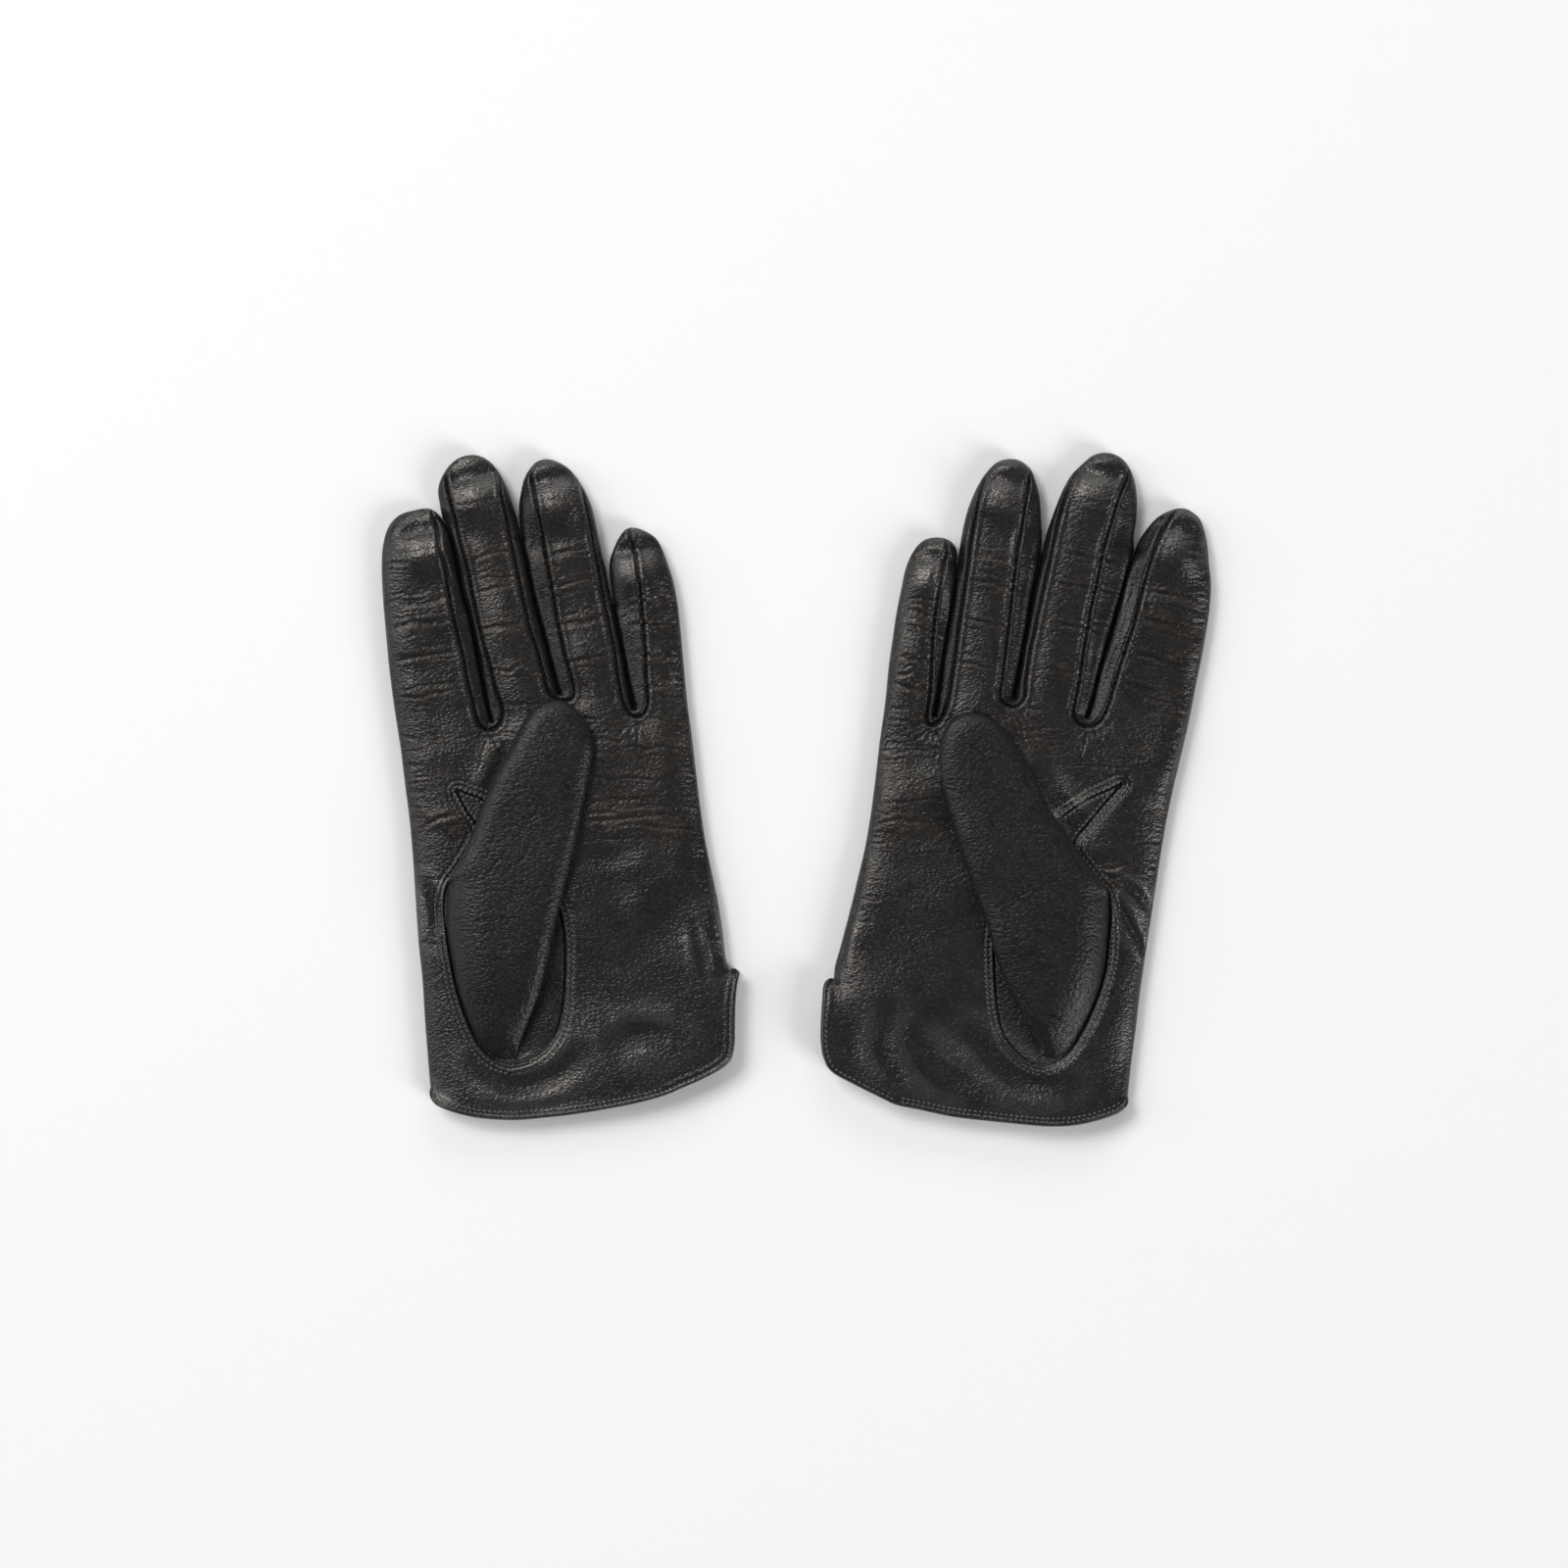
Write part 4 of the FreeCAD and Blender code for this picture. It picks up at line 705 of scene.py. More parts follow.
def suede(name):
    """The flesh side of the leather, seen inside the cuff."""
    mat = bpy.data.materials.new(name)
    mat.use_nodes = True
    t = mat.node_tree
    nodes, link = t.nodes, t.links
    bsdf = nodes["Principled BSDF"]
    coord = nodes.new("ShaderNodeTexCoord")
    n = nodes.new("ShaderNodeTexNoise")
    n.inputs["Scale"].default_value = 900.0
    n.inputs["Detail"].default_value = 5.0
    link.new(coord.outputs["Object"], n.inputs["Vector"])
    ramp = nodes.new("ShaderNodeMix")
    ramp.data_type = "RGBA"
    ramp.inputs["A"].default_value = (0.012, 0.011, 0.010, 1)
    ramp.inputs["B"].default_value = (0.035, 0.031, 0.028, 1)
    link.new(n.outputs["Fac"], ramp.inputs["Factor"])
    link.new(ramp.outputs["Result"], bsdf.inputs["Base Color"])
    bsdf.inputs["Roughness"].default_value = 0.95
    bsdf.inputs["Specular IOR Level"].default_value = 0.15
    bsdf.inputs["Sheen Weight"].default_value = 0.25
    b = nodes.new("ShaderNodeBump")
    b.inputs["Strength"].default_value = 0.6
    b.inputs["Distance"].default_value = 0.0002
    link.new(n.outputs["Fac"], b.inputs["Height"])
    link.new(b.outputs["Normal"], bsdf.inputs["Normal"])
    return mat


def thread_material(name):
    """Black twisted sewing thread."""
    mat = bpy.data.materials.new(name)
    mat.use_nodes = True
    t = mat.node_tree
    nodes, link = t.nodes, t.links
    bsdf = nodes["Principled BSDF"]
    coord = nodes.new("ShaderNodeTexCoord")
    w = nodes.new("ShaderNodeTexNoise")
    w.inputs["Scale"].default_value = 2600.0
    w.inputs["Detail"].default_value = 2.0
    link.new(coord.outputs["Object"], w.inputs["Vector"])
    mix = nodes.new("ShaderNodeMix")
    mix.data_type = "RGBA"
    mix.inputs["A"].default_value = (0.022, 0.021, 0.020, 1)
    mix.inputs["B"].default_value = (0.120, 0.112, 0.104, 1)
    link.new(w.outputs["Fac"], mix.inputs["Factor"])
    link.new(mix.outputs["Result"], bsdf.inputs["Base Color"])
    bsdf.inputs["Roughness"].default_value = 0.38
    bsdf.inputs["Sheen Weight"].default_value = 0.3
    b = nodes.new("ShaderNodeBump")
    b.inputs["Strength"].default_value = 0.5
    b.inputs["Distance"].default_value = 0.00008
    link.new(w.outputs["Fac"], b.inputs["Height"])
    link.new(b.outputs["Normal"], bsdf.inputs["Normal"])
    return mat


TRANK = leather("trank_leather", (0.0062, 0.0058, 0.0056), (0.0112, 0.0096, 0.0086), 0.305, 1.1, 0.70, 0.50, 0.4)
FOURCHETTE = leather("fourchette_leather", (0.0056, 0.0053, 0.0052), (0.0088, 0.0078, 0.0071), 0.33, 0.8, 0.60, 0.36, 0.3)
THUMB = leather("thumb_leather", (0.0060, 0.0057, 0.0055), (0.0096, 0.0085, 0.0078), 0.36, 1.6, 0.80, 0.35, 0.5)
BINDING = leather("binding_leather", (0.0055, 0.0053, 0.0052), (0.0082, 0.0075, 0.0071), 0.27, 0.5, 0.5, 0.65, 0.2)
SUEDE = suede("suede")
THREAD = thread_material("black_thread")


# ------------------------------------------------------------------ one glove
FINGERS = ("index", "middle", "ring", "little")
GAPS = (("index_middle", "index", "middle"), ("middle_ring", "middle", "ring"), ("ring_little", "ring", "little"))
SEAMS = {
    "index_middle": ("index_seam", "middle_seam_index"),
    "middle_ring": ("middle_seam_ring", "ring_seam_middle"),
    "ring_little": ("ring_seam_little", "little_seam"),
}
GAP = 0.05  # half the slit between two fingers that lie side by side
MID = 3.9  # height of the fold round the glove's edge
BACK_SEAM = 2.3  # the fourchette's width under the finger


def unit(v):
    v = np.asarray(v, float)
    return v / np.linalg.norm(v)


def nearest_index(c, p):
    return int(((c - np.asarray(p)) ** 2).sum(1).argmin())


class Glove:
    def __init__(self, side, P, seed):
        self.side, self.P = side, P
        self.sign = 1 if side == "left" else -1
        self.rng = np.random.default_rng(seed)
        s = self.sign
        gap = {k: smooth(P[k], 0.35, 1.0) for k, _, _ in GAPS}
        self.gap = gap
        near = {k: g + rights(g) * GAP * s for k, g in gap.items()}
        far = {k: g - rights(g) * GAP * s for k, g in gap.items()}
        a = {k: list(map(tuple, near[k])) for k in near}
        b = {k: list(map(tuple, far[k][::-1])) for k in far}

        spans = []

        def run(before, tip, after):
            """One side of a finger, its tip and the other side. The gap curves are kept as they are."""
            lead = [before[-1]] if before is not None else []
            tail = [after[0]] if after is not None else []
            mid = smooth(lead + list(tip) + tail, 0.35, 0.9)
            first = len(before) - 1 if before is not None else 0
            spans.append((first, first + len(mid)))
            out = [mid]
            if before is not None:
                out.insert(0, np.array(before[:-1]))
            if after is not None:
                out.append(np.array(after[1:]))
            return np.vstack(out)

        def tip_of(key, drop_a, drop_b):
            t = list(P[key])
            return [p for p in t if all(np.hypot(p[0] - q[0], p[1] - q[1]) > 0.6 for q in (drop_a, drop_b) if q is not None)]

        im, mr, rl = (g[0] for g in GAPS)
        self.outline = {
            "index": run(None, P["index_outer"] + tip_of("index_tip", None, gap[im][0]), a[im]),
            "middle": run(b[im], tip_of("middle_tip", gap[im][0], gap[mr][0]), a[mr]),
            "ring": run(b[mr], tip_of("ring_tip", gap[mr][0], gap[rl][0]), a[rl]),
            "little": run(b[rl], tip_of("little_tip", gap[rl][0], None) + P["little_outer"], None),
        }
        # the cuff's bound edge, from the top of the vent down, round and along to the index side
        self.bound = smooth(P["vent"] + P["hem"][1:], 0.35, 0.45)
        self.bound[0] = self.outline["little"][-1]
        self.bound[-1] = self.outline["index"][0]
        self.loop = np.vstack([self.outline[f] for f in FINGERS] + [self.bound[1:-1]])
        self.silhouette = Line(*[self.outline[f] for f in FINGERS])
        self.fold = Line(self.outline["index"][: self.tip_index("index")], self.outline["little"][self.tip_index("little") :])
        self.gaps = Line(*[gap[k] for k, _, _ in GAPS])
        self.edge = Line(self.bound)
        self.tips = []
        for f, (i0, i1) in zip(FINGERS, spans):
            o = self.outline[f]
            a = arc(o)
            i = self.tip_index(f)
            if f == "index":
                i0 = int(np.searchsorted(a, a[i] - 16))
            if f == "little":
                i1 = int(np.searchsorted(a, a[i] + 16))
            self.tips.append(Line(o[i0:i1]))
        self.box = (*(self.loop.min(0) - 3), *(self.loop.max(0) + 3))

        # the seams between the fingers' fronts and the fourchettes, each one curve from tip round the crotch to tip
        self.seam = {}
        for k, fa, fb in GAPS:
            sa, sb = SEAMS[k]
            pts = list(P[sa]) + list(P["crotch_" + k]) + list(P[sb])[::-1]
            c = smooth(pts, 0.3, 0.7)
            oa = self.outline[fa]
            ob = self.outline[fb]
            ia, ib = nearest_index(oa, c[0]), nearest_index(ob, c[-1])
            c = np.vstack([oa[ia : ia + 1], c, ob[ib : ib + 1]])
            self.seam[k] = (c, ia, ib)
        self.seams = Line(*[c for c, _, _ in self.seam.values()])

        # base lines of the fingers
        self.base = {}
        for f in FINGERS:
            (x, y), d = P[f + "_base"]
            p0, d = np.array((x, y)), unit(d)
            o = self.outline[f]
            t = (o - p0) @ d
            cross = [i for i in range(len(o) - 1) if (t[i] < 0) != (t[i + 1] < 0)]
            ends = []
            for i in cross:
                w = t[i] / (t[i] - t[i + 1])
                ends.append(o[i] + w * (o[i + 1] - o[i]))
            ends = sorted(ends, key=lambda q: q[0])
            e0, e1 = ends[0], ends[-1]
            u = unit(e1 - e0)
            self.base[f] = (p0, d, spaced(np.array([e0 - u * 0.02, e1 + u * 0.02]), 0.4))

        self.ribs = [Line(c) for c in self.points()]

        # the finger's centre line, from base to tip
        self.centre = {}
        for f in FINGERS:
            p0, d, line = self.base[f]
            o = self.outline[f]
            apex = o[self.tip_index(f)]
            self.centre[f] = (line.mean(0), apex)

        self.opening = smooth(P["opening"] + P["opening"][:1], 0.35, 0.5)
        self.opening_line = Line(self.opening)
        thumb = [p for p in P["thumb"]]
        self.thumb = smooth(thumb + thumb[:1], 0.35, 1.0)
        foot, head = np.array(P["thumb_hinge"][0], float), np.array(P["thumb_hinge"][1], float)
        self.foot, self.head = foot, head
        ax = unit(head - foot)
        self.outwards = np.array((ax[1], -ax[0])) * s
        i0, i1 = nearest_index(self.thumb, foot), nearest_index(self.thumb, P["thumb"][8 if s > 0 else 9])
        self.fold_part = self.thumb[: i1 + 1]
        self.free_part = self.thumb[i1:]
        self.fold_seam = Line(self.fold_part)
        self.free_edge = Line(self.free_part)
        self.thumb_edge = Line(self.thumb)
        self.creases()

    def tip_index(self, f):
        o = self.outline[f]
        return int(o[:, 1].argmax())

    # -------------------------------------------------------- creases
    def creases(self):
        rng = self.rng
        f = Field(self.box, 0.2)
        self.field = f

        def wavy(a, b, n=9, wob=0.35, bow=0.0):
            a, b = np.asarray(a, float), np.asarray(b, float)
            t = np.linspace(0, 1, n)[:, None]
            d = b - a
            nrm = np.array((-d[1], d[0])) / (np.linalg.norm(d) + 1e-9)
            w = np.cumsum(rng.standard_normal(n)) * wob
            w -= np.linspace(w[0], w[-1], n)
            return a + t * d + nrm * (w[:, None] + bow * np.sin(np.pi * t))

        def widths(fn, along):
            """The two sides of a finger at a distance above its base line."""
            p0, d, line = self.base[fn]
            o = self.outline[fn]
            t = (o - line.mean(0)) @ d
            i = self.tip_index(fn)
            a = o[:i][np.abs(t[:i] - along).argmin()]
            b = o[i:][np.abs(t[i:] - along).argmin()]
            return (a, b) if a[0] < b[0] else (b, a)

        # bends of the fingers: clusters of short wandering creases across each finger
        for fn in FINGERS:
            c0, apex = self.centre[fn]
            reach = (apex - c0) @ self.base[fn][1]
            zones = [(0.08, 0.05, 4, 0.16), (0.27, 0.045, 5, 0.20), (0.43, 0.045, 5, 0.18), (0.56, 0.045, 5, 0.20), (0.80, 0.05, 2, 0.10)]
            if fn == "little":
                zones = zones[:4]
            for at, spread, count, depth in zones:
                for _ in range(int(count * 1.3)):
                    u = at + spread * rng.standard_normal() * 0.8
                    lo, hi = widths(fn, u * reach)
                    w0 = rng.uniform(0.05, 0.6)
                    w1 = min(0.97, w0 + rng.uniform(0.22, 0.75))
                    a = lo + (hi - lo) * w0
                    b = lo + (hi - lo) * w1
                    b = b + self.base[fn][1] * rng.normal(0, 0.9)
                    f.stroke(wavy(a, b, 10, 0.28, rng.normal(0, 0.5)), depth * rng.uniform(0.4, 1.4), rng.uniform(0.20, 0.38))
                # one deeper fold in the middle of the zone
                lo, hi = widths(fn, (at + rng.normal(0, 0.01)) * reach)
                a, b = lo + (hi - lo) * rng.uniform(0.08, 0.25), lo + (hi - lo) * rng.uniform(0.7, 0.92)
                f.stroke(wavy(a, b, 10, 0.3, rng.normal(0, 0.6)), depth * 1.5, rng.uniform(0.45, 0.75), 0.6)
        # gathers that fan out below each crotch
        for k, fa, fb in GAPS:
            c = self.seam[k][0]
            low = c[c[:, 1].argmin()]
            for j in range(13):
                ang = math.radians(-90 + rng.normal(0, 42) + (j - 6) * 9)
                d = np.array((math.cos(ang), math.sin(ang)))
                a = low + d * rng.uniform(0.8, 2.2)
                f.stroke(wavy(a, a + d * rng.uniform(3.5, 13), 8, 0.25), rng.uniform(0.08, 0.22), rng.uniform(0.25, 0.45))
        # long soft creases across the palm, from the index side and from the little-finger side
        idx, lit = self.outline["index"], self.outline["little"]

        def edge_at(y, which):
            o = idx[: self.tip_index("index")] if which == "index" else lit[self.tip_index("little") :]
            return o[np.abs(o[:, 1] - y).argmin()]

        for y, n, depth in ((24, 7, 0.15), (17, 9, 0.15), (10, 9, 0.15), (2, 9, 0.14), (-5, 8, 0.15), (-10, 8, 0.22), (-14, 6, 0.15), (-22, 5, 0.10), (-34, 4, 0.08), (-48, 3, 0.06)):
            for _ in range(int(n * 0.7)):
                yy = y + rng.normal(0, 2.0)
                a = edge_at(yy, "little")
                b = edge_at(yy + rng.normal(0, 1.5), "index")
                w0 = rng.uniform(0.0, 0.55)
                w1 = min(1, w0 + rng.uniform(0.12, 0.42))
                f.stroke(wavy(a + (b - a) * w0, a + (b - a) * w1, 12, 0.45, rng.normal(0, 1.1)), depth * rng.uniform(0.5, 1.3), rng.uniform(0.28, 0.5))
        # short creases over both folded edges
        for which, y0, y1, n in (("little", -50, 76, 46), ("index", -30, 84, 44)):
            for _ in range(n):
                y = rng.uniform(y0, y1)
                a = edge_at(y, which)
                inward = 1 if (which == "index") == (self.sign > 0) else -1
                ln = rng.uniform(2.5, 11)
                b = a + np.array((inward * ln, rng.normal(0, 0.9)))
                f.stroke(wavy(a, b, 8, 0.2), rng.uniform(0.06, 0.2), rng.uniform(0.25, 0.5))
        # drag lines from the thumb's root
        for _ in range(14):
            p = self.opening[rng.integers(0, len(self.opening))]
            d = unit(p - np.array((self.opening[:, 0].mean(), self.opening[:, 1].mean())))
            ang = rng.normal(0, 0.35)
            d = np.array((d[0] * math.cos(ang) - d[1] * math.sin(ang), d[0] * math.sin(ang) + d[1] * math.cos(ang)))
            f.stroke(wavy(p + d * 3.2, p + d * rng.uniform(6, 15), 8, 0.25), rng.uniform(0.05, 0.13), rng.uniform(0.35, 0.6))
        self.folds = Field(self.box, 0.3)
        for pts, depth, sigma in self.P.get("folds", []):
            (f if sigma < 0.8 else self.folds).stroke(smooth(pts, 0.6, 0.8), depth, sigma, 0.7)
        self.broad = value_noise(self.box, 11.0, rng)
        self.mid = value_noise(self.box, 4.2, rng, 0.4, (1.6, 1.0))
        self.small = value_noise(self.box, 1.5, rng, 0.25, (1.9, 1.0))

    # -------------------------------------------------------- heights
    def top(self, p, detail=True, toned=False):
        """Height of the palm side of the hand and fingers."""
        d_fold = self.fold.away(p)
        d_gap = self.gaps.away(p)
        d_sil, _ = self.silhouette.near(p)
        d_edge = self.edge.away(p)
        k = bulge(d_fold / 5.2) * bulge(np.minimum(d_gap, 2.9) / 2.9, 2.3)
        tipk = np.ones(len(p))
        for line in self.tips:
            tipk *= bulge(line.away(p) / 3.9, 2.2)
        k = k * tipk
        z = MID + 3.05 * k + 1.6 * (1 - np.exp(-((d_sil / 6.0) ** 2)))
        shine = np.zeros(len(p))
        # fullness of the fingertips, and the hollow below each
        for f in FINGERS:
            c0, apex = self.centre[f]
            d = self.base[f][1]
            u = (apex - p) @ d
            v = np.abs((p - apex) @ np.array((d[1], -d[0])))
            w = np.exp(-((v / 9.0) ** 4)) * (u > -5)
            shine += np.exp(-((v / 6.5) ** 4)) * (np.exp(-(((u - 12.0) / 4.5) ** 2)) + 0.7 * np.exp(-(((u - 1.5) / 2.2) ** 2)))
            z += w * k * (1.0 * np.exp(-(((u - 16.0) / 4.8) ** 2)) - 1.35 * np.exp(-(((u - 7.0) / 2.8) ** 2)) - 0.45 * np.exp(-(((u - 27.0) / 4.5) ** 2)))
        ds, ks = self.seams.near(p)
        s_arc = self.seams.arcs[ks]
        pucker = 0.5 + 0.5 * np.cos(2 * np.pi * s_arc / 1.7)
        live = step01(d_sil, 0.0, 1.6)
        z -= live * (0.62 + 0.25 * pucker) * np.exp(-((ds / 0.37) ** 2))
        z += live * (0.34 + 0.06 * pucker) * np.exp(-(((ds - 1.4) / 0.8) ** 2))
        # the palm leather is lapped over the thumb leather along the opening
        do, ko = self.opening_line.near(p)
        within = inside(p, self.opening)
        sd = np.where(within, -do, do)
        beat = 0.5 + 0.5 * np.cos(2 * np.pi * self.opening_line.arcs[ko] / 1.6)
        z += 0.30 * np.exp(-(((sd - 0.65) / 0.45) ** 2)) + 0.22 * np.exp(-(((sd - 2.25) / 0.45) ** 2))
        z -= 0.40 * step01(-sd, -0.15, 0.5) * np.exp(-np.maximum(-sd, 0) / 9.0) + 0.55 * np.exp(-((sd / 0.4) ** 2))
        # two rows of stitches draw the lap down
        z -= (0.18 + 0.12 * beat) * (np.exp(-(((sd - 1.5) / 0.32) ** 2)) + np.exp(-(((sd - 3.05) / 0.34) ** 2)))
        # pressed down a little under the thumb
        dt = self.thumb_edge.away(p)
        under = inside(p, self.thumb)
        z -= 0.55 * np.where(under, step01(dt, 0, 7), 0)
        # the turned hem: thicker, held down by its two rows of stitches, and rolled at its edge
        _, ke = self.edge.near(p)
        ebeat = 0.5 + 0.5 * np.cos(2 * np.pi * self.edge.arcs[ke] / 1.6)
        soft_end = step01(d_fold, 0.2, 3.5)
        lip = self.lip(ke)
        hem = step01(-d_edge, -3.6, -3.0)
        z += 0.20 * hem * soft_end
        z -= soft_end * (0.16 + 0.12 * ebeat) * (np.exp(-(((d_edge - 2.75) / 0.34) ** 2)) * lip + np.exp(-(((d_edge - 1.55) / 0.3) ** 2)))
        z += soft_end * 0.22 * np.exp(-(((d_edge - 0.75) / 0.5) ** 2))
        z -= 0.95 * (1 - bulge(d_edge / 0.95, 2.0)) * soft_end
        if detail:
            g = step01(d_sil, 0.15, 1.6) * step01(d_edge, 2.5, 6.5)
            quiet = 1 - 0.75 * step01(-p[:, 1], 38, 62)
            crease = self.field.sample(p)
            z += g * (crease * 0.85 + 1.35 * self.folds.sample(p))
            z += step01(d_sil, 0.3, 3.0) * (0.38 * self.broad.sample(p))
            z += g * (0.13 * self.mid.sample(p) + 0.02 * self.small.sample(p)) * quiet
        if not toned:
            return z
        # painted shading: painted shade in the bottoms of creases, along the finger seams, round the thumb opening and
        # its stitch rows, along the hem's stitch rows and in the slits between the fingers; the ridges beside creases
        # painted paler, partly as wear of the dye and partly as painted highlight
        tone = np.clip(crease / 0.40, -0.3, 0) + np.clip((crease - 0.03) / 0.16, 0, 0.42) * g
        tone -= 0.95 * np.exp(-((ds / 0.25) ** 2)) * live
        tone -= 1.0 * np.exp(-((sd / 0.36) ** 2))
        tone -= 0.5 * (np.exp(-(((sd - 1.5) / 0.3) ** 2)) + np.exp(-(((sd - 3.05) / 0.3) ** 2)))
        tone -= 0.5 * soft_end * (np.exp(-(((d_edge - 2.75) / 0.3) ** 2)) * lip + np.exp(-(((d_edge - 1.55) / 0.28) ** 2)))
        tone -= 1.1 * (1 - step01(d_gap, 0.1, 1.2))
        shine += np.clip(self.folds.sample(p) / 0.14, 0, 0.9)
        return z, np.column_stack([np.clip(tone, -1, 1), self.line_amount(p, ds, sd, d_edge), np.clip(shine, 0, 1)])

    def line_amount(self, p, ds, sd, d_edge):
        """How many fine crease lines there are: most at the bends of the fingers and across the upper palm."""
        amount = np.zeros(len(p))
        for f in FINGERS:
            p0, d, line = self.base[f]
            c0, apex = self.centre[f]
            reach = (apex - c0) @ d
            t = ((p - c0) @ d) / reach
            m = inside(p, self.outline[f]) & (t > 0)
            v = 0.12 + 0.0 * t
            for at in (0.08, 0.27, 0.43, 0.56, 0.80):
                v += 0.75 * np.exp(-(((t - at) / 0.055) ** 2))
            amount[m] = v[m] * (1 - step01(t[m], 0.88, 0.97))
        low = amount == 0
        y = p[:, 1]
        palm = 0.15 + 0.6 * np.exp(-(((y - 15) / 16.0) ** 2)) + 0.9 * np.exp(-(((y + 10) / 6.0) ** 2))
        palm = palm * (1 - 0.85 * step01(-y, 18, 44))
        amount[low] = palm[low]
        return np.clip(amount, 0, 1) * step01(ds, 0.3, 1.4) * step01(sd, 1.0, 5.0) * step01(d_edge, 4.0, 7.0)

    def lip(self, k):
        """1 along the hem, 0 along the vent, where there is one row of stitches."""
        a = arc(self.bound)[nearest_index(self.bound, self.P["hem"][0])]
        return step01(self.edge.arcs[k], a - 1, a + 1)

    def lifted(self, p):
        """The palm side of the cuff stands open a little."""
        low = self.bound[:, 1].min()
        return 0.5 * step01(-(p[:, 1]), -(low + 34), -(low + 3)) * step01(self.fold.away(p), 3.0, 26.0)

    def bottom(self, p):
        """Height of the back of the hand and fingers, which lies on the table."""
        d_sil = self.silhouette.away(p)
        d_fold = self.fold.away(p)
        d_edge = self.edge.away(p)
        d_gap = self.gaps.away(p)
        k = bulge(np.minimum(d_sil, 4.6) / 4.6, 2.2)
        z = MID - (MID - 0.42) * k
        z += 0.30 * np.exp(-(((d_gap - BACK_SEAM) / 0.5) ** 2)) * step01(d_sil, 0.3, 1.8)
        z += step01(d_sil, 1.5, 6) * (0.10 * self.broad.sample(p) - self.field.sample(p) * 0.35)
        z -= 0.22 * step01(-d_edge, -4.3, -3.7)
        z += 0.75 * (1 - bulge(d_edge / 0.95, 2.0))
        # three raised lines of pointing on the back of the hand
        for line in self.ribs:
            z += 0.22 * np.exp(-((line.away(p) / 0.55) ** 2))
        return np.maximum(z, 0.02)

    def points(self):
        out = []
        for k, fa, fb in GAPS:
            c = self.gap[k]
            low = c[-1]
            d = -0.5 * (self.base[fa][1] + self.base[fb][1])
            out.append(np.array([low + d * 7, low + d * 28, low + d * 52]))
        return out

    # -------------------------------------------------------- surfaces
    def build(self):
        s, P, side = self.sign, self.P, self.side
        loop = self.loop
        inner = self.bound + rights(self.bound) * s * 4.0
        inner = inner[inside(inner, loop)]
        inner = soften(spaced(inner, 0.4), 3)
        lines = [(loop, True)] + [(self.base[f][2], False) for f in FINGERS]
        seam_lines = [(c, False) for c, _, _ in self.seam.values()]
        ql, qd = P["quirk_line"]
        rim = [0.07, 0.2, 0.4, 0.68, 1.05, 1.5, 2.1]
        rows = []
        step = s  # the inside is at the right of each outline on the left glove
        out = 1 if inside(self.opening + rights(self.opening) * 0.5, self.opening).mean() < 0.5 else -1
        for f in FINGERS:
            rows.append((self.outline[f], [r * step for r in (rim)]))
        rows.append((self.bound, [r * step for r in (0.12, 0.3, 0.6, 1.0)]))
        for c, _, _ in self.seam.values():
            rows.append((c, [-0.9, -0.5, -0.22, 0.22, 0.5, 0.9]))
        rows.append((self.opening, [-0.5, -0.2, 0.2, 0.5]))
        rows.append((self.opening, [1.5 * out, 3.05 * out]))
        rows.append((self.bound, [1.55 * step, 2.75 * step, 3.3 * step]))
        co, tri = surface(loop, lines + seam_lines + [(self.opening, False), (inner, False)], None, FINE, rows)
        z, tone = self.top(co, True, True)
        z = z + self.lifted(co)
        on = self.silhouette.away(co) < 0.004
        z[on] = MID
        cen = co[tri].mean(1)
        tags = self.label(cen, True)
        skin = Skin()
        skin.add(np.column_stack([co, z]), tri, tags, tone)

        back_rows = [(c, d[:]) for c, d in rows[:5]]
        co2, tri2 = surface(loop, lines + [(inner, False)], None, FINE * 1.9, back_rows)
        z2 = self.bottom(co2)
        z2[self.silhouette.away(co2) < 0.004] = MID
        cen2 = co2[tri2].mean(1)
        skin.add(np.column_stack([co2, z2]), tri2[:, ::-1], self.label(cen2, False))
        skin.finish()
        self.skin = skin
        p = skin.points
        m = np.ones(len(p))
        skin.soften(2, 0.5, m * 0.35)

        mats = {"palm_panel": TRANK, "back_panel": TRANK, "thumb_gusset": THUMB, "quirk_gusset": THUMB, "cuff_binding": BINDING, "vent_binding": BINDING}
        made = {}
        for tag in sorted(set(skin.tags)):
            f = skin.faces[skin.tags == tag]
            mat = mats.get(tag) or (FOURCHETTE if "fourchette" in tag or "crotch" in tag else TRANK)
            o = make_object("%s_%s_leather" % (side, tag), skin.points, f, skin.normals, [mat], None, skin.tone)
            made[tag] = o
        self.made = made
        self.inner_faces()
        for tag, o in self.made.items():
            self.place(o, tag)
        self.build_thumb()
        self.stitches()

    def label(self, cen, top):
        P = self.P
        n = len(cen)
        tags = np.full(n, "palm_panel" if top else "back_panel", dtype=object)
        d_gap = self.gaps.away(cen)
        finger = np.full(n, "", dtype=object)
        for f in FINGERS:
            p0, d, _ = self.base[f]
            up = (cen - p0) @ d > 0
            m = up & inside(cen, self.outline[f])
            finger[m] = f
            tags[m] = f + ("_front" if top else "_back")
        if top:
            for k, fa, fb in GAPS:
                c, ia, ib = self.seam[k]
                oa, ob = self.outline[fa], self.outline[fb]
                poly = np.vstack([c, ob[: ib + 1][::-1], oa[ia:][::-1]])
                m = inside(cen, poly)
                self.flange(tags, finger, m, k, fa, fb)
        else:
            for k, fa, fb in GAPS:
                m = Line(self.gap[k]).away(cen) < BACK_SEAM
                self.flange(tags, finger, m, k, fa, fb)
        db = self.edge.away(cen)
        inner = db < 4.0
        hand = finger == ""
        joint = nearest_index(self.bound, P["hem"][0])
        _, idx = self.edge.near(cen)
        frac = self.edge.arcs[idx]
        at_joint = arc(self.bound)[joint]
        vent = inner & (frac < at_joint) & (db < 2.6)
        hem = inner & (frac >= at_joint)
        tags[hand & vent] = "vent_binding"
        tags[hand & hem] = "cuff_binding"
        if top:
            within = inside(cen, self.opening)
            (qx, qy), qd = P["quirk_line"]
            far = (cen - np.array((qx, qy))) @ np.array(qd) > 0
